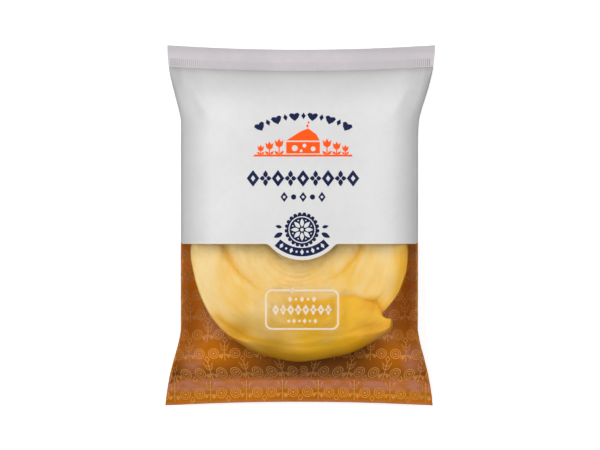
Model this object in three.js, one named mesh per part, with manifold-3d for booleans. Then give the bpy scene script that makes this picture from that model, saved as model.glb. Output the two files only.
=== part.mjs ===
// A coil of smoked steamed cheese shut in a pillow pack, lying on its back.
//
// The pack is one tube of film, welded flat across both ends and swollen over the coil between them.
// Its girth is rounded at the sides, flatter underneath where the coil's weight presses it on the table,
// and it narrows from each seal's flat width to the filled body's. Its upper half is opaque, and the front
// of its lower half is clear film, a piece of its own, with the coil in the space behind it. The coil is a
// rope of curd wound on itself: a spiral valley parts its turns, and its loose end is tucked in beside a
// notch. It lies in a bed in the pack, which is solid round its hidden half.
//
// Millimetres, +Z up out of the pack's front, +Y towards its top seal, origin on the table under its middle.

import * as THREE from "three";
import { mergeVertices } from "three/addons/utils/BufferGeometryUtils.js";
import Module from "manifold-3d";

// Driving dimensions
const LENGTH = 159; // from one cut edge to the other, at the corners
const CUT_WIDTH = 118; // across a cut edge, the film tube pressed flat
const SEAL_INNER_WIDTH = 116; // across a seal where the body begins
const BODY_WIDTH = 104.5; // across the filled body
const THICKNESS = 28; // from the table to the top of the filled body
const BODY_MIDDLE = 11; // height of the body's widest line above the table

const SEAL_DEPTH = 9.5; // the band welded flat at each end
const LIP_DEPTH = 2.2; // the loose film outside the weld
const LIP_THICKNESS = 0.9; // both films of the lip, with the air between them
const LIP_TAPER = 0.3; // length over which it opens from the weld
const WELD_THICKNESS = 0.6; // both films pressed together
const SEAL_HEIGHT = 10; // middle of a seal above the table, where the body begins
const SEAL_DROOP = 1.4; // how far a seal sinks towards its cut edge
const CORNER_DROOP = 0.9; // how far a seal's corners sink below its middle
const TOP_SEAL_BOW = 2.1; // how far the top seal's middle is drawn towards the body
const BOTTOM_SEAL_BOW = 1.7;

const SHOULDER = 24; // length over which the body narrows from a seal
const SWELL = 28; // length over which the film rises from a seal to its full height
const BOW_FADE = 30; // length over which a seal's bow dies out in the body

const FRONT_FULLNESS = 2.9; // superellipse exponent of the front's section in the body
const BACK_FULLNESS = 4.2; // the same for the back, which the table flattens
const SEAL_FULLNESS = 1.9; // both, beside a seal, where the film is a lens
const BACK_PRESS = 1.03; // how far the back would sink without the table, as a share of its depth

// The crease that runs in from each corner: a ridge with a dent on its outer side
const CREASE_REACH = 26; // distance from the seal at which it ends
const CREASE_FOOT = 51.5; // distance of its foot from the middle line, at the seal
const CREASE_LEAN = 13; // how far it leans in over its reach
const CREASE_HEIGHT = 0.9;
const CREASE_SPREAD = 3.2; // half width of the ridge, and of the dent beside it

// The window in the lower half of the front
const PRINT_EDGE = -7.8; // where the opaque upper half ends
const LOBE_X = 0.74; // middle of the round lobe that hangs from that edge
const LOBE_Y = 3.9;
const LOBE_RADIUS = 18.7;
const WALL = 1.5; // thickness left at the sides and at the back of the window
const FRONT_WALL = 1; // thickness of the clear front
const FRONT_START = 1.2; // distance of its foot from the bottom weld
const GAP = 0.3; // kept between the pieces

// The coil of cheese
const COIL_X = -0.6; // middle of the coil
const COIL_Y = -12.4;
const COIL_RADIUS = 47.4;
const COIL_BOTTOM = 1.6;
const COIL_MIDDLE = 10.4; // height of its widest line
const COIL_TOP = 22.2;
const COIL_FOOT_ROUND = 8; // how far its foot curls in
const COIL_SIDE_ROUND = 4; // how far its top edge curls in at the sides
const COIL_FRONT_ROUND = 11; // the same at the end towards the bottom seal
const TIP_TURN = 319; // degrees round from +X to the loose end
const TIP_REACH = 4.9; // how far the loose end stands out
const TIP_SPREAD = 11; // degrees over which it does before the notch
const NOTCH_TURN = 325.5; // degrees to the notch beyond the loose end
const NOTCH_DEPTH = 2.2;
const NOTCH_SPREAD = 4;

// The valley between the coil's turns, from the notch inwards: x, y and depth of its stops
const VALLEY = [
  [38.4, -39.6, 7], [33, -37.4, 3], [29.9, -33.8, 2], [24.6, -31.1, 1.6], [13, -32, 1.2], [-4, -31, 0.8],
  [-18.5, -28.2, 1], [-25.9, -22.1, 1.8], [-32.7, -10.8, 2.5], [-34.9, -1.2, 2.9], [-28.1, 18, 3],
  [-4.5, 26.8, 3], [19.5, 16.7, 2.9], [27.4, -2.5, 2.4], [23.9, -14.7, 1.7], [15.1, -22.5, 0.7],
  [5.4, -25.4, 0],
];
const VALLEY_SPREAD = 2.2; // half width of the valley

// Resolution
const FRONT_STEPS = 28; // facets across the front, and as many across the back
const SEAL_STEPS = 5; // rows of facets in each seal's weld
const SWELL_STEPS = 16; // rows of facets in each swelling end
const BODY_STEPS = 6; // rows of facets in the level body between them
const CROWDING = 1.6; // how strongly rows of facets crowd towards a weld, where the film turns most
const ARC_SAMPLES = 240; // fine steps used to space points evenly round a section
const WINDOW_COLUMNS = 32; // facets across the window's floor
const WINDOW_ROWS = 12; // facets along it
const COIL_STEPS = 100; // facets round the coil
const BED_STEPS = 50; // facets round its bed
const COIL_TOP_STEPS = 14; // rings of facets on its top
const COIL_SIDE_STEPS = 5; // rings on its flank, and as many below its widest line
const VALLEY_SAMPLES = 120; // straight steps that stand for the valley's line

const clamp = THREE.MathUtils.clamp;
const lerp = THREE.MathUtils.lerp;
const smooth = (t) => THREE.MathUtils.smoothstep(t, 0, 1);

// How far a station lies inside the seal, from 0 at the weld's inner edge.
const insideSeal = (y) => Math.max(0, LENGTH / 2 - SEAL_DEPTH - Math.abs(y));

// How far a station lies from its cut edge.
const fromCut = (y) => LENGTH / 2 - Math.abs(y);

// Half of the pack's width at a station.
function halfWidth(y) {
  if (fromCut(y) < SEAL_DEPTH) return lerp(CUT_WIDTH, SEAL_INNER_WIDTH, fromCut(y) / SEAL_DEPTH) / 2;
  const t = clamp(insideSeal(y) / SHOULDER, 0, 1);
  return lerp(SEAL_INNER_WIDTH, BODY_WIDTH, (t + smooth(t)) / 2) / 2;
}

// Share of the full thickness that the film has reached at a station, from 0 in a seal to 1 in the body.
function swell(y) {
  const t = clamp(insideSeal(y) / SWELL, 0, 1);
  return (1 - (1 - t) ** 2) ** (2 / 3);
}

// Half of the film's own thickness, which the lip beyond the weld keeps a little open.
const filmHalf = (y) => (fromCut(y) < LIP_DEPTH ? LIP_THICKNESS : WELD_THICKNESS) / 2;

// Height of the widest line at a station, at a share s of the half width.
function middleHeight(y, s) {
  const seal = SEAL_HEIGHT - SEAL_DROOP * (1 - clamp(fromCut(y) / SEAL_DEPTH, 0, 1)) - CORNER_DROOP * s * s;
  return lerp(seal, BODY_MIDDLE, swell(y));
}

// Rise of the crease that runs in from the nearest corner.
function crease(x, y) {
  const t = insideSeal(y) / CREASE_REACH;
  if (t <= 0 || t >= 1) return 0;
  const off = (Math.abs(x) - (CREASE_FOOT - CREASE_LEAN * t)) / CREASE_SPREAD;
  const ridge = Math.exp(-off * off) - Math.exp(-((off - 1.6) ** 2));
  return CREASE_HEIGHT * ridge * Math.sin(Math.PI * t);
}

// A point of the film at a station and a share s of the half width, from -1 to 1, on the front or the back.
function filmPoint(y, s, front) {
  const grown = swell(y);
  const fullness = lerp(SEAL_FULLNESS, front ? FRONT_FULLNESS : BACK_FULLNESS, grown);
  const rise = (1 - Math.min(1, Math.abs(s)) ** fullness) ** (1 / fullness);
  const x = halfWidth(y) * s;
  const middle = middleHeight(y, s);
  const height = (THICKNESS - BODY_MIDDLE - WELD_THICKNESS / 2) * grown + crease(x, y);
  const z = front
    ? middle + filmHalf(y) + height * rise
    : Math.max(0, middle - filmHalf(y) - BODY_MIDDLE * BACK_PRESS * grown * rise);
  const bow = (y > 0 ? TOP_SEAL_BOW : BOTTOM_SEAL_BOW) * (1 - s * s) * (1 - smooth(insideSeal(y) / BOW_FADE));
  return new THREE.Vector3(x, y - Math.sign(y) * bow, z);
}

// Shares of the half width, from 1 to -1, that space a section's points evenly along the film.
function evenShares(y, front) {
  const shares = [];
  for (let i = 0; i <= ARC_SAMPLES; i++) shares.push(Math.cos((Math.PI * i) / ARC_SAMPLES));
  const points = shares.map((s) => filmPoint(y, s, front));
  const along = [0];
  for (let i = 1; i < points.length; i++) along.push(along[i - 1] + points[i].distanceTo(points[i - 1]));
  const even = [];
  let at = 1;
  for (let i = 0; i <= FRONT_STEPS; i++) {
    const wanted = (along[ARC_SAMPLES] * i) / FRONT_STEPS;
    while (at < ARC_SAMPLES && along[at] < wanted) at++;
    const t = (wanted - along[at - 1]) / (along[at] - along[at - 1]);
    even.push(lerp(shares[at - 1], shares[at], t));
  }
  return even;
}

// One closed section of the pack: across the front from right to left, and back underneath.
function section(y) {
  const front = evenShares(y, true).map((s) => filmPoint(y, s, true));
  const back = evenShares(y, false).map((s) => filmPoint(y, s, false));
  return [...front, ...back.reverse()];
}

// Places of the sections, from the bottom cut edge to the top one, closest where the film turns most.
function stations() {
  const half = [];
  const seal = LENGTH / 2 - SEAL_DEPTH;
  for (let i = 0; i < BODY_STEPS / 2; i++) half.push(((seal - SWELL) * i) / (BODY_STEPS / 2));
  for (let i = SWELL_STEPS; i >= 0; i--) half.push(seal - SWELL * (i / SWELL_STEPS) ** CROWDING);
  for (let i = 1; i <= SEAL_STEPS; i++) half.push(LENGTH / 2 - lerp(SEAL_DEPTH, LIP_DEPTH, i / SEAL_STEPS));
  half.push(LENGTH / 2 - LIP_DEPTH + LIP_TAPER, LENGTH / 2);
  return [...half.slice(1).reverse().map((y) => -y), ...half];
}

// A geometry from points and the corners of its triangles.
function triangles(points, faces) {
  const geometry = new THREE.BufferGeometry();
  const numbers = points.flatMap((p) => [p.x, p.y, p.z]);
  geometry.setAttribute("position", new THREE.Float32BufferAttribute(numbers, 3));
  geometry.setIndex(faces);
  return geometry;
}

// Triangles of a grid of points numbered row by row. A closed grid joins its last column to its first.
function gridFaces(rows, columns, closed, start = 0, flip = false) {
  const faces = [];
  for (let row = 0; row + 1 < rows; row++) {
    for (let i = 0; i < (closed ? columns : columns - 1); i++) {
      const a = start + row * columns + i;
      const b = start + row * columns + ((i + 1) % columns);
      const quad = [a, b, a + columns, b, b + columns, a + columns];
      faces.push(...(flip ? quad.reverse() : quad));
    }
  }
  return faces;
}

// A closed surface through the sections, with a fan of strips over each cut edge.
function skin(sections) {
  const count = sections[0].length;
  const faces = gridFaces(sections.length, count, true, 0, true);
  const last = (sections.length - 1) * count;
  for (let i = 0; i + 1 < count / 2; i++) {
    const [upper, next, lower, beyond] = [i, i + 1, count - 1 - i, count - 2 - i];
    faces.push(upper, next, lower, next, beyond, lower);
    faces.push(last + upper, last + lower, last + next, last + next, last + lower, last + beyond);
  }
  return triangles(sections.flat(), faces);
}

// A closed slab between two like grids of points, the lower one first.
function slab(lower, upper, rows, columns) {
  const count = lower.length;
  const faces = [...gridFaces(rows, columns, false, 0, true), ...gridFaces(rows, columns, false, count)];
  const rim = [];
  for (let i = 0; i < columns - 1; i++) rim.push(i);
  for (let row = 0; row < rows - 1; row++) rim.push(row * columns + columns - 1);
  for (let i = columns - 1; i > 0; i--) rim.push((rows - 1) * columns + i);
  for (let row = rows - 1; row > 0; row--) rim.push(row * columns);
  rim.forEach((a, i) => {
    const b = rim[(i + 1) % rim.length];
    faces.push(a, b, a + count, b, b + count, a + count);
  });
  return triangles([...lower, ...upper], faces);
}

const FOOT = SEAL_DEPTH - LENGTH / 2; // inner edge of the bottom weld

// Place of a row between two edges of the window, closest at the lower one, where the film turns most.
const windowStation = (foot, edge, row) => lerp(foot, edge, (row / WINDOW_ROWS) ** CROWDING);

// Lower edge of the opaque half at a distance from the middle line, or a gap outside it.
function printEdge(x, gap) {
  const inside = (LOBE_RADIUS + gap) ** 2 - (x - LOBE_X) ** 2;
  const straight = PRINT_EDGE - gap;
  return inside > 0 ? Math.min(straight, LOBE_Y - Math.sqrt(inside)) : straight;
}

// The space over the window's floor, up past the front film, or a gap inside that space beyond the weld.
function windowSpace(gap) {
  const [floor, roof] = [[], []];
  for (let row = 0; row <= WINDOW_ROWS; row++) {
    for (let i = 0; i <= WINDOW_COLUMNS; i++) {
      const share = (2 * i) / WINDOW_COLUMNS - 1;
      const edge = printEdge(share * (BODY_WIDTH / 2 - WALL - gap), gap);
      const y = windowStation(FOOT, edge, row);
      const point = filmPoint(y, share * (1 - (WALL + gap) / halfWidth(y)), false);
      floor.push(point.clone().setZ(point.z + WALL + gap));
      roof.push(point.setZ(THICKNESS + WALL));
    }
  }
  return slab(floor, roof, WINDOW_ROWS + 1, WINDOW_COLUMNS + 1);
}

// The clear front film, as a sheet that reaches past the window at its top and sides.
function frontSheet() {
  const outer = [];
  for (let row = 0; row <= WINDOW_ROWS; row++) {
    const y = windowStation(FOOT + FRONT_START, PRINT_EDGE, row);
    for (const s of evenShares(y, true).reverse()) outer.push(filmPoint(y, s, true));
  }
  const [rows, columns] = [WINDOW_ROWS + 1, FRONT_STEPS + 1];
  const face = triangles(outer, gridFaces(rows, columns, false));
  face.computeVertexNormals();
  const normals = face.attributes.normal;
  const inner = outer.map((p, i) =>
    new THREE.Vector3().fromBufferAttribute(normals, i).multiplyScalar(-FRONT_WALL).add(p),
  );
  return slab(inner, outer, rows, columns);
}

// A hump of height 1 round an angle, in degrees.
const hump = (turn, middle, spread) => Math.exp(-(((turn - middle) / spread) ** 2));

// The coil's outer radius at an angle: the loose end grows slowly out of the coil and ends in the notch.
function coilRadius(turn) {
  const tip = TIP_REACH * hump(turn, TIP_TURN, turn < TIP_TURN ? TIP_SPREAD : NOTCH_SPREAD);
  return COIL_RADIUS + tip - NOTCH_DEPTH * hump(turn, NOTCH_TURN, NOTCH_SPREAD);
}

const stops = VALLEY.map(([x, y, depth]) => new THREE.Vector3(x, y, depth));
const valley = new THREE.CatmullRomCurve3(stops).getSpacedPoints(VALLEY_SAMPLES);

// How far the valley sinks the coil's top at a place.
function valleyDepth(x, y) {
  let nearest = Infinity;
  let depth = 0;
  for (const stop of valley) {
    const away = Math.hypot(x - stop.x, y - stop.y);
    if (away < nearest) [nearest, depth] = [away, stop.z];
  }
  return Math.max(0, depth) * Math.exp(-((nearest / VALLEY_SPREAD) ** 2));
}

// The coil as a closed surface of rings, from the middle of its top to the middle of its foot. Grown by
// a gap it is its bed, which has no valley.
function coil(gap, steps, topSteps) {
  const rings = [];
  const ring = (inset, height) => {
    const points = [];
    for (let i = 0; i < steps; i++) {
      const angle = (2 * Math.PI * i) / steps;
      const radius = coilRadius(THREE.MathUtils.radToDeg(angle)) + gap;
      const front = smooth(-Math.sin(angle)) ** 3;
      const away = inset(radius, lerp(COIL_SIDE_ROUND, COIL_FRONT_ROUND, front));
      const [x, y] = [COIL_X + away * Math.cos(angle), COIL_Y + away * Math.sin(angle)];
      const deep = gap ? 0 : valleyDepth(x, y);
      const sink = deep * smooth((height - COIL_MIDDLE) / (COIL_TOP - COIL_MIDDLE));
      points.push(new THREE.Vector3(x, y, height - sink));
    }
    rings.push(points);
  };
  const [top, bottom] = [COIL_TOP + gap, COIL_BOTTOM - gap];
  for (let i = 1; i <= topSteps; i++) ring((r, round) => ((r - round) * i) / topSteps, top);
  for (let i = 1; i <= COIL_SIDE_STEPS; i++) {
    const turn = (Math.PI / 2) * (i / COIL_SIDE_STEPS);
    ring((r, round) => r - round * (1 - Math.sin(turn)), lerp(COIL_MIDDLE, top, Math.cos(turn)));
  }
  for (let i = 1; i <= COIL_SIDE_STEPS; i++) {
    const turn = (Math.PI / 2) * (i / COIL_SIDE_STEPS);
    ring((r) => r - COIL_FOOT_ROUND * (1 - Math.cos(turn)), lerp(COIL_MIDDLE, bottom, Math.sin(turn)));
  }
  const points = rings.flat();
  const faces = gridFaces(rings.length, steps, true, 0, true);
  const [crown, foot] = [points.length, points.length + 1];
  points.push(new THREE.Vector3(COIL_X, COIL_Y, top), new THREE.Vector3(COIL_X, COIL_Y, bottom));
  for (let i = 0; i < steps; i++) {
    const [a, b, last] = [i, (i + 1) % steps, (rings.length - 1) * steps];
    faces.push(crown, a, b, foot, last + b, last + a);
  }
  return triangles(points, faces);
}

const wasm = await Module();
wasm.setup();

// A solid that can be cut and joined, from a closed geometry.
function solid(geometry) {
  const merged = mergeVertices(geometry);
  const vertProperties = merged.attributes.position.array;
  return new wasm.Manifold(new wasm.Mesh({ numProp: 3, vertProperties, triVerts: merged.index.array }));
}

// The geometry of such a solid.
function geometryOf(manifold) {
  const mesh = manifold.getMesh();
  const geometry = new THREE.BufferGeometry();
  geometry.setAttribute("position", new THREE.BufferAttribute(mesh.vertProperties, 3));
  geometry.setIndex(new THREE.BufferAttribute(mesh.triVerts, 1));
  geometry.computeVertexNormals();
  return geometry;
}

const bed = solid(coil(GAP, BED_STEPS, 1));
const pack = solid(skin(stations().map(section))).subtract(solid(windowSpace(0))).subtract(bed);
const front = solid(frontSheet()).intersect(solid(windowSpace(GAP)));

const film = new THREE.MeshStandardMaterial({ color: 0xe2e2e2, roughness: 0.35, metalness: 0 });
const clear = new THREE.MeshStandardMaterial({
  color: 0xffffff, roughness: 0.2, metalness: 0, transparent: true, opacity: 0.15,
});
const curd = new THREE.MeshStandardMaterial({ color: 0xeecb6e, roughness: 0.4, metalness: 0 });

const part = new THREE.Group();

// Adds a named piece to the part.
function piece(name, geometry, material) {
  const mesh = new THREE.Mesh(geometry, material);
  mesh.name = name;
  part.add(mesh);
}

piece("sealed_pack", geometryOf(pack), film);
piece("window_film", geometryOf(front), clear);
piece("curd_coil", coil(0, COIL_STEPS, COIL_TOP_STEPS), curd);

export default part;
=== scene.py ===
"""Looks of a coil of smoked cheese shut in a pillow pack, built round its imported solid.

The pack is one tube of film, welded flat across both ends. Its upper half is printed light grey. Its lower half is
clear over the coil in front and brown, with a folk pattern, at the sides and behind. Classes hold their sizes in
millimetres, and meshes are made in metres. Film coordinates are those of the film laid flat: u runs round the tube
from the middle of the front, v runs up the pack.
"""

import logging
import math
from dataclasses import dataclass, field
from enum import Enum
from typing import Any, Sequence

import bmesh
import bpy
import numpy as np
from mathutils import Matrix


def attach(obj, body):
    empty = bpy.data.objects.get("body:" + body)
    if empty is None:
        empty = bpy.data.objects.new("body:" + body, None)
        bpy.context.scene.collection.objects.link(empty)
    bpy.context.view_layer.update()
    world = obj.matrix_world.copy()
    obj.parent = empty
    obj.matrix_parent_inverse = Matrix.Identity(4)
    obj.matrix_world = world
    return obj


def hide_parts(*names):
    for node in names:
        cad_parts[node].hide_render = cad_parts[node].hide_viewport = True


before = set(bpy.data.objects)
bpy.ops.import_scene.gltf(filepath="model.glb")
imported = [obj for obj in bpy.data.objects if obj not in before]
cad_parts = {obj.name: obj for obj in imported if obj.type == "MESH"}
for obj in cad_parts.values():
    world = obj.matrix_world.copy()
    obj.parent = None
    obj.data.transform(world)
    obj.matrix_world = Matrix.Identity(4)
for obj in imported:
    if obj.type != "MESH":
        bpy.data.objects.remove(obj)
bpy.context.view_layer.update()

BODY = "root"
MM = 0.001
MERGE_DISTANCE = 1e-6
SMOOTH_ANGLE = math.radians(38)
FILM_UV = "film_uv"
FILM_NORMAL = "film_normal"
FILM_SHARE = "film_share"
FILM_PAINTED_LIGHT = "film_painted_light"
# Point attribute of painted shade: how far a surface's colour is darkened where shade falls.
PAINTED_SHADE = "edge_tone"
# Point attribute of painted light, given as emission as if light came through the film.
PAINTED_GLOW = "glow"
CURD_TONE_AND_SHADE = "curd_tone_and_shade"
FIBRE = "fibre"

log = logging.getLogger("pack")

Array = np.ndarray
Loop = np.ndarray
Object = bpy.types.Object
Mesh = bpy.types.Mesh
Material = bpy.types.Material
Socket = bpy.types.NodeSocket
Point = tuple[float, float]
Pairs = tuple[Point, ...]


class Slot(Enum):
    """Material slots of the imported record."""

    PRINTED = "printed_film"
    CLEAR = "clear_film"
    CHEESE = "smoked_cheese"


class Solid(Enum):
    """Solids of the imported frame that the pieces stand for."""

    PACK = "sealed_pack"
    FRONT = "window_film"
    COIL = "curd_coil"


class Shade(Enum):
    """Colours of inks, films and cheese, as sRGB."""

    LIGHT_FIELD = (0.826, 0.825, 0.824)
    LIGHT_FIELD_DIM = (0.807, 0.806, 0.806)
    WELD_GREY = (0.755, 0.732, 0.748)
    WELD_GREY_DIM = (0.725, 0.705, 0.720)
    BROWN = (0.745, 0.428, 0.005)
    BROWN_DEEP = (0.680, 0.375, 0.005)
    # Painted light: the emission colour of the brown film's inner face.
    BROWN_PAINTED_GLOW = (0.560, 0.318, 0.005)
    FOLK_LINE = (0.870, 0.600, 0.290)
    # Painted light: the emission colour of the folk ink on the inner face.
    FOLK_PAINTED_GLOW = (0.310, 0.310, 0.180)
    # Milky pink of the bottom weld's bands, partly painted sheen, and of the painted glare above them.
    WELD_HAZE_SHEEN = (0.690, 0.482, 0.445)
    NAVY = (0.075, 0.115, 0.262)
    ORANGE = (0.960, 0.335, 0.050)
    CREAM = (0.865, 0.802, 0.715)
    CURD_PALE = (0.900, 0.795, 0.560)
    CURD_GOLD = (0.890, 0.688, 0.150)
    CURD_AMBER = (0.845, 0.605, 0.010)
    FLOOR = (0.965, 0.965, 0.965)
    FLOOR_BOUNCE = (0.620, 0.620, 0.620)

    @property
    def linear(self) -> tuple[float, float, float, float]:
        """The colour as linear RGBA."""
        return (*(c / 12.92 if c <= 0.04045 else ((c + 0.055) / 1.055) ** 2.4 for c in self.value), 1.0)


BLACK = (0.0, 0.0, 0.0, 1.0)
WHITE = (1.0, 1.0, 1.0, 1.0)
DEEP_SHADE = (0.006, 0.004, 0.002, 1.0)


# --- numbers ---


def lerp(a: Any, b: Any, t: Any) -> Any:
    """Goes from a to b as t goes from 0 to 1."""
    return a + (b - a) * t


def smooth(t: Any) -> Any:
    """Eases t in and out between 0 and 1, and holds it there outside."""
    t = np.clip(t, 0, 1)
    return t * t * (3 - 2 * t)


def soft_min(a: Array, b: Array, blend: float) -> Array:
    """The lesser of two arrays, its corner rounded where they are nearer to each other than the blend."""
    h = np.clip(0.5 + 0.5 * (b - a) / blend, 0, 1)
    return lerp(b, a, h) - blend * h * (1 - h)


def read(pairs: Sequence[Point], at: Array, **ends: float) -> Array:
    """Reads a line through pairs of place and value at places, as np.interp does."""
    return np.interp(at, *np.transpose(pairs), **ends)


def spot(x: Array, y: Array, middle: Point, reach: Point) -> Array:
    """A soft spot, 1 at its middle and fading over its reach both ways."""
    return np.exp(-(((x - middle[0]) / reach[0]) ** 2) - ((y - middle[1]) / reach[1]) ** 2)


def wave_noise(x: Array, y: Array, size: float, seed: int, waves: int = 7) -> Array:
    """Soft noise in the plane, as a sum of sine waves in seeded directions.

    Args:
        x: First coordinates.
        y: Second coordinates.
        size: Typical distance from one crest to the next.
        seed: Seed of the directions and phases.
        waves: How many waves are summed.

    Returns:
        Values of about -1 to 1.
    """
    draw = np.random.default_rng(seed)
    total = np.zeros(np.broadcast(x, y).shape)
    for _ in range(waves):
        turn, phase, stretch = draw.uniform(0, math.tau), draw.uniform(0, math.tau), draw.uniform(0.7, 1.5)
        k = math.tau / (size * stretch)
        total += np.sin(k * (x * math.cos(turn) + y * math.sin(turn)) + phase)
    return total / math.sqrt(waves * 1.5)


def layered(x: Array, y: Array, rows: Sequence[Sequence[float]]) -> Array:
    """Sums noises. A row is a height, how far y is stretched, then the size, seed and waves of wave_noise."""
    return sum(height * wave_noise(x, stretch * y, *rest) for height, stretch, *rest in rows)


def spline(points: Sequence[Sequence[float]], steps: int) -> Array:
    """A Catmull-Rom curve through points of any number of coordinates.

    Args:
        points: The points in order.
        steps: Steps from each point to the next.

    Returns:
        One row for each step.
    """
    p = np.asarray(points, float)
    p = np.vstack([2 * p[0] - p[1], p, 2 * p[-1] - p[-2]])
    t = np.linspace(0, 1, steps, endpoint=False)[:, None]
    rows = [
        0.5 * (2 * b + (c - a) * t + (2 * a - 5 * b + 4 * c - d) * t**2 + (3 * b - a - 3 * c + d) * t**3)
        for a, b, c, d in zip(p, p[1:], p[2:], p[3:])
    ]
    return np.vstack([*rows, p[-2:-1]])


# --- meshes ---


def new_object(name: str, data: bpy.types.ID) -> Object:
    """Links a new object with this data to the scene and returns it."""
    made = bpy.data.objects.new(name, data)
    bpy.context.scene.collection.objects.link(made)
    return made


def mesh_object(name: str, points: Array, faces: list[Sequence[int]],
                marks: dict[str, Array] | None = None) -> Object:
    """A mesh object from points in millimetres, with doubled points merged and its faces turned outwards.

    Args:
        name: Name of the object and its mesh.
        points: One row of x, y, z for each point.
        faces: Point numbers of each face.
        marks: Named values of the points, one or three for each.

    Returns:
        The object, smooth but for its sharp edges.
    """
    mesh = bpy.data.meshes.new(name)
    mesh.from_pydata((np.asarray(points).reshape(-1, 3) * MM).tolist(), [], faces)
    for key, values in (marks or {}).items():
        mark_points(mesh, key, values)
    made = new_object(name, mesh)
    tidy_mesh(made)
    return made


def mark_points(mesh: Mesh, name: str, values: Array) -> None:
    """Keeps one or three values for each of a mesh's points under a name."""
    single = np.ndim(values) == 1
    kept = mesh.attributes.new(name, "FLOAT" if single else "FLOAT_VECTOR", "POINT")
    kept.data.foreach_set("value" if single else "vector", np.asarray(values, np.float32).ravel())


def tidy_mesh(piece: Object, turn: bool = True) -> None:
    """Merges doubled points, turns the faces outwards and marks the sharp edges.

    Args:
        piece: The object whose mesh is tidied.
        turn: Whether the faces are turned outwards, as on a closed solid.
    """
    work = bmesh.new()
    work.from_mesh(piece.data)
    bmesh.ops.remove_doubles(work, verts=work.verts, dist=MERGE_DISTANCE)
    bmesh.ops.dissolve_degenerate(work, edges=work.edges, dist=MERGE_DISTANCE / 10)
    if turn:
        bmesh.ops.recalc_face_normals(work, faces=work.faces)
    work.to_mesh(piece.data)
    work.free()
    piece.data.polygons.foreach_set("use_smooth", [True] * len(piece.data.polygons))
    piece.data.set_sharp_from_angle(angle=SMOOTH_ANGLE)
    piece.data.update()


def number_grid(rows: int, columns: int, start: int = 0) -> Array:
    """Numbers of a grid's points, row by row."""
    return start + np.arange(rows * columns).reshape(rows, columns)


def grid_faces(rows: int, columns: int, closed: bool, start: int = 0, flip: bool = False) -> list[list[int]]:
    """Faces of a grid of points numbered row by row.

    Args:
        rows: Number of rows of points.
        columns: Number of points in a row.
        closed: Whether the last column joins the first.
        start: Number of the grid's first point.
        flip: Whether the faces are turned round.

    Returns:
        Four point numbers for each face.
    """
    grid = number_grid(rows, columns, start)
    if closed:
        grid = np.hstack([grid, grid[:, :1]])
    faces = np.stack([grid[:-1, :-1], grid[:-1, 1:], grid[1:, 1:], grid[1:, :-1]], -1).reshape(-1, 4)
    return faces[:, :: -1 if flip else 1].tolist()


def sheet_faces(rows: int, columns: int, closed: bool = False, start: int = 0) -> list[list[int]]:
    """Faces of a closed sheet between two grids, whose points are numbered one grid after the other.

    Args:
        rows: Number of rows of points.
        columns: Number of points in a row.
        closed: Whether the sheet is a tube, whose last column joins its first.
        start: Number of the first grid's first point.

    Returns:
        Four point numbers for each face.
    """
    grid, count = number_grid(rows, columns, start), rows * columns
    rims = [grid[0], grid[-1, ::-1]]
    if not closed:
        rims = [np.concatenate([grid[0], grid[1:, -1], grid[-1, -2::-1], grid[-2:0:-1, 0]])]
    faces = grid_faces(rows, columns, closed, start) + grid_faces(rows, columns, closed, start + count, True)
    for rim in rims:
        ahead = np.roll(rim, -1)
        faces += np.stack([rim, rim + count, ahead + count, ahead], 1).tolist()
    return faces


def shell(name: str, outer: Array, inner: Array, closed: bool = False,
          marks: dict[str, tuple[Array, Array]] | None = None) -> Object:
    """A closed sheet of film between two grids of points.

    Args:
        name: Name of the object.
        outer: Rows x columns x 3 points of the outer face.
        inner: The same of the inner face.
        closed: Whether the sheet is a tube, whose last column joins its first.
        marks: Named values of the outer and of the inner grid's points.

    Returns:
        The object.
    """
    kept = {key: np.concatenate([face.ravel() for face in pair]) for key, pair in (marks or {}).items()}
    points = np.concatenate([outer.reshape(-1, 3), inner.reshape(-1, 3)])
    return mesh_object(name, points, sheet_faces(*outer.shape[:2], closed), kept)


def dress(piece: Object, material: Material, solid: Solid = Solid.PACK) -> Object:
    """Gives a finished piece its material and its place on the frame, and reports it.

    Args:
        piece: The finished object.
        material: Its only material.
        solid: The solid that it stands for.

    Returns:
        The same object.
    """
    piece.data.materials.clear()
    piece.data.materials.append(material)
    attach(piece, BODY)
    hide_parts(solid.value)
    log.info("%s: %d faces", piece.name, len(piece.data.polygons))
    return piece


# --- node trees ---


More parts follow.
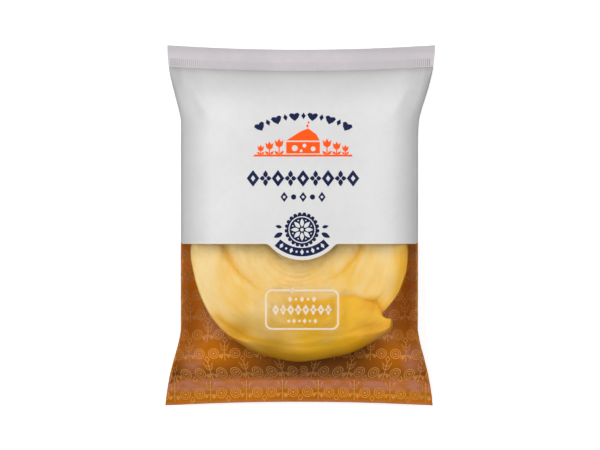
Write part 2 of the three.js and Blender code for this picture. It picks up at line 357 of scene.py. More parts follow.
class Wiring:
    """Adds nodes to one tree, sets their inputs and joins them."""

    def __init__(self, tree: bpy.types.NodeTree) -> None:
        """Keeps the tree to work on."""
        self.tree = tree

    def add(self, kind: str, inputs: dict[str | int, Any] | None = None, **settings: Any) -> bpy.types.Node:
        """Adds a node.

        Args:
            kind: The node's type name.
            inputs: What each input gets: a socket to join or a plain value. Keys are names or numbers.
            **settings: The node's own properties.

        Returns:
            The new node.
        """
        node = self.tree.nodes.new(kind)
        for key, value in settings.items():
            setattr(node, key, value)
        self.feed(node.inputs, inputs or {})
        return node

    def out(self, kind: str, inputs: dict[str | int, Any] | None = None, **settings: Any) -> Socket:
        """Adds a node and returns its first output."""
        return self.add(kind, inputs, **settings).outputs[0]

    def feed(self, sockets: Any, values: dict[str | int, Any]) -> None:
        """Joins each named or numbered socket to another socket, or sets its value."""
        for key, value in values.items():
            if isinstance(value, Socket):
                self.tree.links.new(value, sockets[key])
            else:
                sockets[key].default_value = value

    def join(self, *parts: Socket) -> Socket:
        """Joins geometries."""
        both = self.add("GeometryNodeJoinGeometry")
        for part in parts:
            self.tree.links.new(part, both.inputs[0])
        return both.outputs[0]

    def attribute(self, name: str, output: str = "Fac") -> Socket:
        """Reads a mesh attribute in a material, as a number or a vector."""
        return self.add("ShaderNodeAttribute", attribute_name=name).outputs[output]

    def field(self, name: str) -> Socket:
        """Reads a vector attribute in a geometry tree."""
        return self.out("GeometryNodeInputNamedAttribute", {0: name}, data_type="FLOAT_VECTOR")

    def place(self) -> Socket:
        """Reads a piece's own coordinates in a material."""
        return self.add("ShaderNodeTexCoord").outputs["Object"]

    def shape(self, source: Socket, instance: bool = True) -> Socket:
        """Reads another object's geometry, as an instance or plainly."""
        given = {"Object": source, "As Instance": instance}
        return self.add("GeometryNodeObjectInfo", given).outputs["Geometry"]

    def split(self, vector: Socket) -> Sequence[Socket]:
        """The three numbers of a vector."""
        return self.add("ShaderNodeSeparateXYZ", {0: vector}).outputs

    def math(self, operation: str, a: Any, b: Any = 0.0, clamp: bool = False) -> Socket:
        """A sum on one or two numbers or sockets, kept from 0 to 1 if it is clamped."""
        return self.add("ShaderNodeMath", {0: a, 1: b}, operation=operation, use_clamp=clamp).outputs[0]

    def plus(self, a: Any, b: Any, clamp: bool = False) -> Socket:
        """Adds two numbers or sockets."""
        return self.math("ADD", a, b, clamp)

    def minus(self, a: Any, b: Any) -> Socket:
        """Takes the second number or socket from the first."""
        return self.math("SUBTRACT", a, b)

    def times(self, a: Any, b: Any, clamp: bool = False) -> Socket:
        """Multiplies two numbers or sockets."""
        return self.math("MULTIPLY", a, b, clamp)

    def remap(self, value: Any, low: float, high: float, to_low: float = 0.0, to_high: float = 1.0) -> Socket:
        """Eases a number or socket from one range to another, and holds it at the new range's ends."""
        inputs = {"Value": value, "From Min": low, "From Max": high, "To Min": to_low, "To Max": to_high}
        return self.add("ShaderNodeMapRange", inputs, interpolation_type="SMOOTHSTEP").outputs[0]

    def mix(self, factor: Any, a: Any, b: Any) -> Socket:
        """Mixes two colours or sockets by the second one's share."""
        return self.add("ShaderNodeMix", {0: factor, 6: a, 7: b}, data_type="RGBA").outputs[2]

    def noise(self, vector: Any, scale: float, detail: float = 2.0, roughness: float = 0.5) -> Socket:
        """Soft noise from 0 to 1, with a number of finer layers and their strength."""
        inputs = {"Vector": vector, "Scale": scale, "Detail": detail, "Roughness": roughness}
        return self.add("ShaderNodeTexNoise", inputs).outputs["Fac"]


def new_material(name: str) -> tuple[Material, Wiring, Any]:
    """A new material, the wiring of its tree and the inputs of its shader."""
    material = bpy.data.materials.new(name)
    material.use_nodes = True
    w = Wiring(material.node_tree)
    return material, w, w.tree.nodes["Principled BSDF"].inputs


def new_group(name: str, kind: str, inputs: dict[str, str],
              outputs: dict[str, str]) -> tuple[bpy.types.NodeTree, dict[str, str]]:
    """An empty node group with named sockets.

    Args:
        name: Name of the group.
        kind: Type of its tree.
        inputs: Socket type of each named input.
        outputs: Socket type of each named output.

    Returns:
        The tree, and the identifier of each input.
    """
    tree = bpy.data.node_groups.new(name, kind)
    made = {
        key: tree.interface.new_socket(key, in_out="INPUT", socket_type=f"NodeSocket{socket}").identifier
        for key, socket in inputs.items()
    }
    for key, socket in outputs.items():
        tree.interface.new_socket(key, in_out="OUTPUT", socket_type=f"NodeSocket{socket}")
    return tree, made


class GeometryTree:
    """A Geometry Nodes tree with named inputs that makes one plain mesh from a host mesh."""

    def __init__(self, name: str, inputs: dict[str, str]) -> None:
        """Makes the tree's sockets.

        Args:
            name: Name of the tree.
            inputs: Socket type of each named input beyond the host's geometry.
        """
        sockets = {"Geometry": "Geometry", **inputs}
        self.tree, self.identifiers = new_group(name, "GeometryNodeTree", sockets, {"Geometry": "Geometry"})
        self.wiring = Wiring(self.tree)
        self.inputs = self.wiring.add("NodeGroupInput").outputs
        self.exit = self.wiring.add("NodeGroupOutput")

    def finish(self, geometry: Socket) -> None:
        """Joins the tree's result to its output."""
        self.tree.links.new(geometry, self.exit.inputs[0])

    def run(self, name: str, host: Mesh, values: dict[str, Any]) -> Object:
        """Runs the tree on a host mesh.

        Args:
            name: Name of the object it makes.
            host: Mesh that the tree starts from.
            values: What each named input gets.

        Returns:
            An object with the plain mesh, without the modifier.
        """
        piece = new_object(name, host)
        modifier = piece.modifiers.new("build", "NODES")
        modifier.node_group = self.tree
        for key, value in values.items():
            modifier[self.identifiers[key]] = value
        evaluated = piece.evaluated_get(bpy.context.evaluated_depsgraph_get())
        mesh = bpy.data.meshes.new_from_object(evaluated)
        piece.modifiers.clear()
        piece.data = mesh
        mesh.name = name
        tidy_mesh(piece)
        return piece


# --- flat artwork ---


def placed(loop: Loop, x: float = 0.0, y: float = 0.0, turn: float = 0.0, size: float = 1.0) -> Loop:
    """A loop of points scaled, turned to the left by degrees and moved."""
    c, s = math.cos(math.radians(turn)), math.sin(math.radians(turn))
    return np.asarray(loop) * size @ np.array([[c, s], [-s, c]]) + (x, y)


def lozenge(width: float, height: float) -> Loop:
    """A diamond round the origin."""
    return np.array([(width / 2, 0), (0, height / 2), (-width / 2, 0), (0, -height / 2)])


def disc(radius: float, sides: int = 24) -> Loop:
    """A circle round the origin, as a polygon."""
    turns = np.arange(sides) * math.tau / sides
    return np.stack([radius * np.cos(turns), radius * np.sin(turns)], 1)


def leaf(length: float, width: float, steps: int = 6) -> Loop:
    """A leaf from the origin along +X, pointed at both ends, widest before its middle."""
    t = np.linspace(0, 1, steps + 1)
    half = width / 2 * np.sin(math.pi * t**0.85)
    return np.concatenate([np.stack([t * length, half], 1), np.stack([t * length, -half], 1)[-2:0:-1]])


def heart(size: float, steps: int = 12) -> Loop:
    """A heart round the origin, its point down."""
    t = np.arange(steps) * math.tau / steps
    x = 0.55 * np.sin(t) ** 3
    y = 0.44 * np.cos(t) - 0.17 * np.cos(2 * t) - 0.07 * np.cos(3 * t)
    return np.stack([x, y], 1) * size


def rounded_box(width: float, height: float, radius: float, steps: int = 6) -> Loop:
    """A rectangle round the origin with round corners, its long sides cut in short steps."""
    turns = np.linspace(0, math.pi / 2, steps + 1)
    corner = radius * np.stack([np.cos(turns), np.sin(turns)], 1) + (width / 2 - radius, height / 2 - radius)
    loop = np.concatenate([corner, corner[::-1] * (-1, 1), -corner, corner[::-1] * (1, -1)])
    cut = [loop[:1]]
    for a, b in zip(loop, np.roll(loop, -1, 0)):
        parts = max(1, round(float(np.hypot(*(b - a))) / 1.5))
        cut.append(a + (b - a) * np.linspace(0, 1, parts + 1)[1:, None])
    return np.concatenate(cut)[:-1]


class Sketch:
    """Flat artwork in film coordinates: filled loops, whose overlaps are holes, and strokes of even width."""

    def __init__(self) -> None:
        """Starts with nothing drawn."""
        self.loops: list[Loop] = []
        self.points: list[Array] = []
        self.faces: list[list[int]] = []

    def fill(self, *loops: Loop) -> "Sketch":
        """Adds filled loops and returns the sketch."""
        self.loops.extend(loops)
        return self

    def stroke(self, line: Loop, width: float, closed: bool = False) -> "Sketch":
        """Adds a stroke of even width.

        Args:
            line: Its middle line.
            width: Its width.
            closed: Whether it returns to its start.

        Returns:
            The sketch.
        """
        line = np.asarray(line, float)
        ahead, behind = np.roll(line, -1, 0) - line, line - np.roll(line, 1, 0)
        if not closed:
            ahead[-1], behind[0] = behind[-1], ahead[0]
        ahead /= np.linalg.norm(ahead, axis=1)[:, None]
        behind /= np.linalg.norm(behind, axis=1)[:, None]
        way = ahead + behind
        way /= np.linalg.norm(way, axis=1)[:, None]
        reach = width / 2 / np.clip((way * ahead).sum(1), 0.5, 1)[:, None]
        side = np.stack([-way[:, 1], way[:, 0]], 1) * reach
        start = sum(map(len, self.points))
        self.points += [line - side, line + side]
        count = len(line)
        for i in range(count if closed else count - 1):
            n = (i + 1) % count
            self.faces.append([start + i, start + n, start + count + n, start + count + i])
        return self

    def mesh(self, name: str) -> Mesh:
        """The artwork as a flat mesh that faces up, in metres."""
        curve = bpy.data.curves.new(name, "CURVE")
        curve.dimensions = "2D"
        curve.fill_mode = "BOTH"
        for loop in self.loops:
            line = curve.splines.new("POLY")
            line.points.add(len(loop) - 1)
            corners = np.pad(loop * MM, ((0, 0), (0, 2)))
            corners[:, 3] = 1
            line.points.foreach_set("co", corners.ravel())
            line.use_cyclic_u = True
        maker = new_object(name, curve)
        made = bpy.data.meshes.new_from_object(maker.evaluated_get(bpy.context.evaluated_depsgraph_get()))
        bpy.data.objects.remove(maker)
        work = bmesh.new()
        work.from_mesh(made)
        if self.points:
            flat = np.concatenate(self.points) * MM
            corners = [work.verts.new((x, y, 0)) for x, y in flat]
            for face in self.faces:
                work.faces.new([corners[k] for k in face])
        work.normal_update()
        bmesh.ops.reverse_faces(work, faces=[f for f in work.faces if f.normal.z < 0])
        work.to_mesh(made)
        work.free()
        return made


def filled(*loops: Loop) -> Sketch:
    """A new sketch of filled loops."""
    return Sketch().fill(*loops)


def path_mesh(name: str, *lines: Loop) -> Mesh:
    """Lines in film coordinates as a mesh of edges, in metres."""
    points, edges = [], []
    for line in lines:
        edges += [(len(points) + i, len(points) + i + 1) for i in range(len(line) - 1)]
        points += [(x * MM, y * MM, 0.0) for x, y in line]
    mesh = bpy.data.meshes.new(name)
    mesh.from_pydata(points, edges, [])
    return mesh


# --- the film ---


@dataclass(frozen=True)
class PackForm:
    """Form of the film tube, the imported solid's own with the finer puckers of real film."""

    length: float = 159.0
    cut_width: float = 118.0
    seal_inner_width: float = 116.0
    body_width: float = 104.3
    thickness: float = 28.0
    body_middle: float = 11.0
    seal_depth: float = 9.5
    lip_depth: float = 2.2
    lip_half: float = 0.45
    weld_half: float = 0.3
    seal_height: float = 10.0
    seal_droop: float = 1.4
    corner_droop: float = 0.9
    top_bow: float = 2.1
    bottom_bow: float = 1.7
    shoulder: float = 24.0
    swell_reach: float = 28.0
    bow_fade: float = 30.0
    front_fullness: float = 2.9
    right_fullness: float = 2.55
    back_fullness: float = 4.2
    seal_fullness: float = 1.9
    back_press: float = 1.03
    back_rest: float = 0.5
    crease_reach: float = 26.0
    crease_foot: float = 51.5
    crease_lean: float = 13.0
    crease_height: float = 0.6
    crease_spread: float = 3.2
    crease_trough: float = 1.6
    pucker_height: float = 0.16
    pucker_reach: float = 9.0
    pucker_size: float = 7.0
    dent_height: float = 0.1
    dent_size: float = 34.0
    trim: Pairs = (
        (-76.9, 0), (-72.5, -0.26), (-68.1, -0.8), (-63.7, -0.75), (-59.3, -0.5), (-54.9, -0.3), (-48, -0.1), (41, 0),
        (46.3, 0.4), (50.7, 0.8), (55.1, 0.95), (59.5, 0.8), (63.9, 0.55), (69.7, 0.65), (74.9, 0.8), (78.9, 0.3),
    )
    sway: Pairs = (
        (-79.5, -0.57), (-62, -0.52), (-45, -0.4), (0, -0.37), (38, -0.36), (50, -0.05), (60, 0.22), (79.5, 0.4),
    )

    def axis(self, y: Array) -> Array:
        """Where the pack's middle line lies at stations, a little askew."""
        return read(self.sway, y)

    @property
    def seal_start(self) -> float:
        """Distance from the middle to a seal's inner edge."""
        return self.length / 2 - self.seal_depth

    def inside_seal(self, y: Array) -> Array:
        """How far stations lie inside the nearest seal."""
        return np.maximum(0, self.seal_start - np.abs(y))

    def from_cut(self, y: Array) -> Array:
        """How far stations lie from the nearest cut edge."""
        return self.length / 2 - np.abs(y)

    def half_width(self, y: Array) -> Array:
        """Half of the pack's width at stations."""
        seal = lerp(self.cut_width, self.seal_inner_width, self.from_cut(y) / self.seal_depth)
        t = np.clip(self.inside_seal(y) / self.shoulder, 0, 1)
        body = lerp(self.seal_inner_width, self.body_width, (t + smooth(t)) / 2)
        return (np.where(self.from_cut(y) < self.seal_depth, seal, body) + read(self.trim, y)) / 2

    def swell(self, y: Array) -> Array:
        """Share of the full thickness reached at stations."""
        t = np.clip(self.inside_seal(y) / self.swell_reach, 0, 1)
        return (1 - (1 - t) ** 2) ** (2 / 3)

    def crease(self, x: Array, y: Array) -> Array:
        """Rise of the creases that run in from the corners."""
        t = self.inside_seal(y) / self.crease_reach
        off = (np.abs(x) - (self.crease_foot - self.crease_lean * t)) / self.crease_spread
        ridge = np.exp(-off * off) - np.exp(-((off - self.crease_trough) ** 2))
        return self.crease_height * ridge * np.sin(math.pi * np.clip(t, 0, 1))

    def relief(self, x: Array, y: Array, front: Array) -> Array:
        """Height of the puckers beside the seals and of the soft dents elsewhere."""
        inside = self.inside_seal(y)
        fade = smooth(inside / 3) * np.exp(-inside / self.pucker_reach)
        pucker = np.where(y > 0, *(wave_noise(x, y * 0.12, self.pucker_size, seed) for seed in (11, 22)))
        dents = wave_noise(x, y, self.dent_size, 5) * smooth(inside / 20)
        return np.where(front, self.pucker_height, -self.pucker_height) * pucker * fade + self.dent_height * dents

    def point(self, y: Array, s: Array, front: Array) -> Array:
        """Points of the film's outer face.

        Args:
            y: Stations along the pack.
            s: Shares of the half width, from -1 to 1.
            front: Whether each point is on the front.

        Returns:
            x, y, z in the last axis.
        """
        grown = self.swell(y)
        front_fullness = lerp(self.front_fullness, self.right_fullness, smooth(s * 2))
        fullness = lerp(self.seal_fullness, np.where(front, front_fullness, self.back_fullness), grown)
        rise = (1 - np.minimum(1, np.abs(s)) ** fullness) ** (1 / fullness)
        x = self.half_width(y) * s + self.axis(y)
        seal = self.seal_height - self.seal_droop * (1 - np.clip(self.from_cut(y) / self.seal_depth, 0, 1))
        middle = lerp(seal - self.corner_droop * s * s, self.body_middle, grown)
        half = lerp(self.lip_half, self.weld_half, smooth(self.from_cut(y) / self.lip_depth))
        top = (self.thickness - self.body_middle - self.weld_half) * grown * rise + self.crease(x, y) * rise
        detail = self.relief(x, y, front) * rise
        low = middle - half - self.body_middle * self.back_press * grown * rise + detail * (1 - grown)
        low = -soft_min(-low, np.full_like(low, -self.back_rest), 1.2)
        z = np.where(front, middle + half + top + detail, low)
        bow = np.where(y > 0, self.top_bow, self.bottom_bow) * (1 - s * s)
        bow = bow * (1 - smooth(self.inside_seal(y) / self.bow_fade))
        return np.stack(np.broadcast_arrays(x, y - np.sign(y) * bow, z), -1)

    def ceiling(self, x: Array, y: Array) -> Array:
        """Height of the front's outer face over places in the plan, without the seals' bow."""
        share = (x - self.axis(y)) / self.half_width(y)
        return self.point(y, share, np.ones_like(x, bool))[..., 2]

    def floor(self, x: Array, y: Array) -> Array:
        """Height of the back's outer face over places in the plan, without the seals' bow."""
        share = np.clip((x - self.axis(y)) / self.half_width(y), -1, 1)
        return self.point(y, share, np.zeros_like(x, bool))[..., 2]


@dataclass(frozen=True)
class PrintEdge:
    """Lower edge of the light field, with a round lobe under the medallion."""

    level: float = -7.8
    lobe_x: float = 0.74
    lobe_y: float = 3.9
    lobe_radius: float = 18.7
    blend: float = 1.4

    def at(self, x: Array) -> Array:
        """Height of the edge at distances from the middle line."""
        inside = np.clip(self.lobe_radius**2 - (x - self.lobe_x) ** 2, 0, None)
        return soft_min(self.lobe_y - np.sqrt(inside), np.full_like(x, self.level), self.blend)


@dataclass
class FilmTube:
    """The film as one grid of points round the pack and along it, and the pieces cut from it."""

    form: PackForm = field(default_factory=PackForm)
    edge: PrintEdge = field(default_factory=PrintEdge)
    film: float = 0.12
    front_columns: int = 200
    back_columns: int = 120
    seal_rows: int = 10
    lower_rows: int = 88
    upper_rows: int = 88
    row_lean: float = 1.25
    window_margin: int = 12
    # Painted shade on the front: darker towards its sides, near the top corners and beside the top seal.
    shade_sides: Pairs = (
        (-0.98, 0), (-0.93, 0.28), (-0.87, 0.2), (-0.8, 0.16), (-0.73, 0), (0.77, 0), (0.83, 0.15), (0.91, 0.32),
        (0.95, 0.3), (0.98, 0),
    )
    shade_along: Pairs = ((0, 0.45), (4, 0.5), (9, 0.35), (16, 0.25), (30, 0.3))
    corner_shade_sides: Pairs = ((-0.97, 0.24), (-0.93, 0.12), (-0.89, 0), (0.93, 0), (0.97, 0.24), (1, 0.32))
    corner_shade_along: Pairs = ((6, 1), (9, 0.8), (14, 0.3), (20, 0))
    seal_shade: Pairs = ((0, 0.13), (1.2, 0.09), (2.5, 0.02), (4.5, 0))
    weld_darkening: float = 0.18
    fin_width: float = 9.0
    fin_gap: float = 0.06
    fin_rows: int = 90
    fin_columns: int = 14
    fin_start: float = 0.004
    fin_ripple: float = 0.05
    fin_wave: float = 11.0
    fin_press: float = 0.02

    def __post_init__(self) -> None:
        """Lays out the grid."""
        front = -np.cos(math.pi * np.arange(self.front_columns + 1) / self.front_columns)
        half = self.back_columns // 2
        back = np.sin(math.pi / 2 * np.arange(half + 1) / half)
        self.share = np.concatenate([-back, front, back[::-1]])
        self.is_front = np.zeros(len(self.share), bool)
        self.first = half + 1
        self.last = half + 1 + self.front_columns
        self.is_front[self.first : self.last + 1] = True
        across = self.share * self.form.body_width / 2 + self.form.axis(self.edge.level)
        edge = np.where(self.is_front, self.edge.at(across), self.edge.level)
        start, cut = self.form.seal_start, self.form.length / 2
        seal = np.linspace(0, 1, self.seal_rows + 1)[:, None]
        lower = (np.linspace(0, 1, self.lower_rows + 1) ** self.row_lean)[1:, None]
        upper = (1 - (1 - np.linspace(0, 1, self.upper_rows + 1)) ** self.row_lean)[1:, None]
        flat = np.ones_like(edge)
        self.v = np.concatenate([
            lerp(-cut, -start, seal) * flat,
            lerp(-start, edge, lower),
            lerp(edge, start, upper),
            lerp(start, cut, seal[1:]) * flat,
        ])
        self.row_seal = self.seal_rows
        self.row_edge = self.row_seal + self.lower_rows
        self.row_top = self.row_edge + self.upper_rows
        self.outer = self.form.point(self.v, self.share[None, :], self.is_front[None, :])
        self.normal = self.normals(self.outer)
        step = np.hypot(*(np.diff(self.outer[..., k], axis=1) for k in (0, 2)))
        self.u = np.concatenate([np.zeros((len(self.v), 1)), np.cumsum(step, 1)], 1)
        self.u += self.form.axis(self.v) - self.u[:, [self.first + self.front_columns // 2]]
        self.inner = self.outer - self.normal * self.film
        # Painted shade: the front darkens towards its sides and top corners and beside the top seal; the brown film is
        # darkened evenly where it meets the bottom weld.
        inside = self.form.inside_seal(self.v)
        side = read(self.shade_sides, self.share) * self.is_front
        corner = read(self.corner_shade_sides, self.share) * self.is_front
        self.tone = side * read(self.shade_along, inside)
        self.tone += corner * read(self.corner_shade_along, inside) * (self.v > 0)
        self.tone += read(self.seal_shade, inside) * (self.v > 0)
        self.tone += self.weld_darkening * (self.v < 0) * (inside < 0.01)

    @staticmethod
    def normals(points: Array) -> Array:
        """Outward unit normals of the grid, whose first and last columns are one line."""
        around = np.concatenate([points[:, -2:-1], points, points[:, 1:2]], 1)
        along_u = around[:, 2:] - around[:, :-2]
        along_v = np.gradient(points, axis=0)
        found = np.cross(along_u, along_v)
        return found / np.maximum(np.linalg.norm(found, axis=-1, keepdims=True), 1e-9)

    def reference(self, shade: Array, glow: Array) -> Object:
        """The outer face as an open mesh with film coordinates, normals, and painted light and shade, for artwork to be
        laid on.

        Args:
            shade: Painted shade of the inner face at each point of the grid.
            glow: Painted light on the inner face at each point of the grid, as if come through the film.

        Returns:
            The mesh object.
        """
        rows, columns = self.v.shape
        mesh = bpy.data.meshes.new("film_reference")
        mesh.from_pydata((self.outer.reshape(-1, 3) * MM).tolist(), [], grid_faces(rows, columns, False))
        flat = np.stack([self.u, self.v, np.zeros_like(self.u)], -1) * MM
        turned = np.where(self.is_front, np.abs(self.share), 2 - np.abs(self.share))
        share = np.stack(np.broadcast_arrays(turned[None, :], self.u * 0, self.u * 0), -1)
        tone = np.stack([self.tone, np.maximum(self.tone, shade), glow], -1)
        for name, values in ((FILM_UV, flat), (FILM_NORMAL, self.normal), (FILM_SHARE, share), (FILM_PAINTED_LIGHT, tone)):
            mark_points(mesh, name, values.reshape(-1, 3))
        return new_object("film_reference", mesh)

    def light_film(self) -> Object:
        """The upper half of the tube, printed light grey, with painted shade towards its sides, its top corners and the
        top seal.
        """
        rows = slice(self.row_edge, self.row_top + 1)
        tone = self.tone[rows, :-1]
        return shell("light_film", self.outer[rows, :-1], self.inner[rows, :-1], True, {PAINTED_SHADE: (tone, tone)})

    def clear_window(self) -> Object:
        """The clear front of the lower half."""
        rows = slice(self.row_seal, self.row_edge + 1)
        columns = slice(self.first + self.window_margin, self.last - self.window_margin + 1)
        return shell("clear_window", self.outer[rows, columns], self.inner[rows, columns])

    def brown_film(self, shade: Array, glow: Array) -> Object:
        """The brown sides and back of the lower half.

        Args:
            shade: Painted shade of the inner face at each point of the grid.
            glow: Painted light added to the inner face there, as emission.

        Returns:
            The object.
        """
        rows = slice(self.row_seal, self.row_edge + 1)
        right, left = self.last - self.window_margin, self.first + self.window_margin + 1
        outer, inner, tone, shade, glow = (
            np.concatenate([g[rows, right:], g[rows, 1:left]], 1)
            for g in (self.outer, self.inner, self.tone, shade, glow)
        )
        # Painted shade on both faces; the pockets' painted shade and the painted light on the inner face only.
        marks = {PAINTED_SHADE: (tone, np.maximum(tone, shade)), PAINTED_GLOW: (np.zeros_like(glow), glow)}
        return shell("brown_film", outer, inner, marks=marks)

    def fin(self, name: str, low: float, high: float) -> Object:
        """The lengthwise seal's flap, folded flat against the back.

        Args:
            name: Name of the object.
            low: Station where it starts.
            high: Station where it ends.

        Returns:
            The object.
        """
        y = np.linspace(low, high, self.fin_rows)[:, None]
        share = np.linspace(self.fin_start, self.fin_width / (self.form.body_width / 2), self.fin_columns)[None, :]
        y, share = np.broadcast_arrays(y, share)
        back = self.form.point(y, share, np.zeros_like(share, bool))
        up = np.array([0.0, 0.0, 1.0])
        ripple = self.fin_ripple * wave_noise(back[..., 0] * 0.2, back[..., 1], self.fin_wave, 3)[..., None] * up
        upper = back - up * self.fin_gap
        return shell(name, upper - up * (2 * self.film - self.fin_press) - ripple * 0.5, upper)


@dataclass
class EndSeal:
    """One end of the tube welded flat, with both films free in a lip beyond the weld."""

    form: PackForm
    sign: int
    film: float = 0.12
    columns: int = 160
    weld_rows: int = 14
    lip_rows: int = 4
    tuck: float = 0.35
    flutter: float = 0.16
    flutter_size: float = 21.0
    apart: float = 0.2
    sink: float = 0.03
    # Painted shade of the top seal by distance from its cut: darker at the lip and a little at its inner edge.
    tone: Pairs = ((0, 0.13), (1.6, 0.11), (2.6, 0.03), (3.5, 0), (8.4, 0), (9.4, 0.04))
    # One even darkening of the whole bottom seal, through the same painted shade value.
    brown_darkening: float = 0.13

    def sheet(self, start: float, end: float, rows: int, front: bool) -> Array:
        """A grid of the seal's outer face, between distances from the pack's middle."""
        y = self.sign * np.linspace(start, end, rows)[:, None]
        share = -np.cos(math.pi * np.arange(self.columns + 1) / self.columns)[None, :]
        side = np.full(np.broadcast_shapes(y.shape, share.shape), front)
        found = self.form.point(y, share, side)
        if start < self.form.seal_start:
            flat = self.form.point(self.sign * np.full_like(y, self.form.seal_start), share, side)
            found[0, :, 2] = flat[0, :, 2] - (self.sink if front else -self.sink)
        return found

    def build(self, name: str) -> Object:
        """Makes the weld and the two lips as closed solids in one object."""
        cut, weld_end = self.form.length / 2, self.form.length / 2 - self.form.lip_depth
        weld_start = self.form.seal_start - self.tuck
        sheets = [tuple(self.sheet(weld_start, weld_end, self.weld_rows, front) for front in (True, False))]
        fade = np.linspace(0, 1, self.lip_rows)[:, None]
        for front in (True, False):
            lip = self.sheet(weld_end, cut, self.lip_rows, front)
            wave = wave_noise(lip[..., 0], lip[..., 1] * 0, self.flutter_size, 31 + self.sign + 7 * front)
            lip[..., 2] += self.flutter * fade * (wave - (self.apart if front else -self.apart))
            inner = lip + np.array([0.0, 0.0, -self.film if front else self.film])
            sheets.append((lip, inner) if front else (inner, lip))
        faces, points = [], []
        for pair in sheets:
            faces += sheet_faces(*pair[0].shape[:2], start=sum(map(len, points)))
            points += [grid.reshape(-1, 3) for grid in pair]
        every = np.concatenate(points)
        # The top seal gets painted shade by distance from the cut; the bottom seal is darkened evenly.
        tone = read(self.tone, cut - np.abs(every[:, 1]) - self.form.top_bow / 2)
        return mesh_object(name, every, faces, {PAINTED_SHADE: tone if self.sign > 0 else 0 * tone + self.brown_darkening})


# --- artwork laid on the film ---


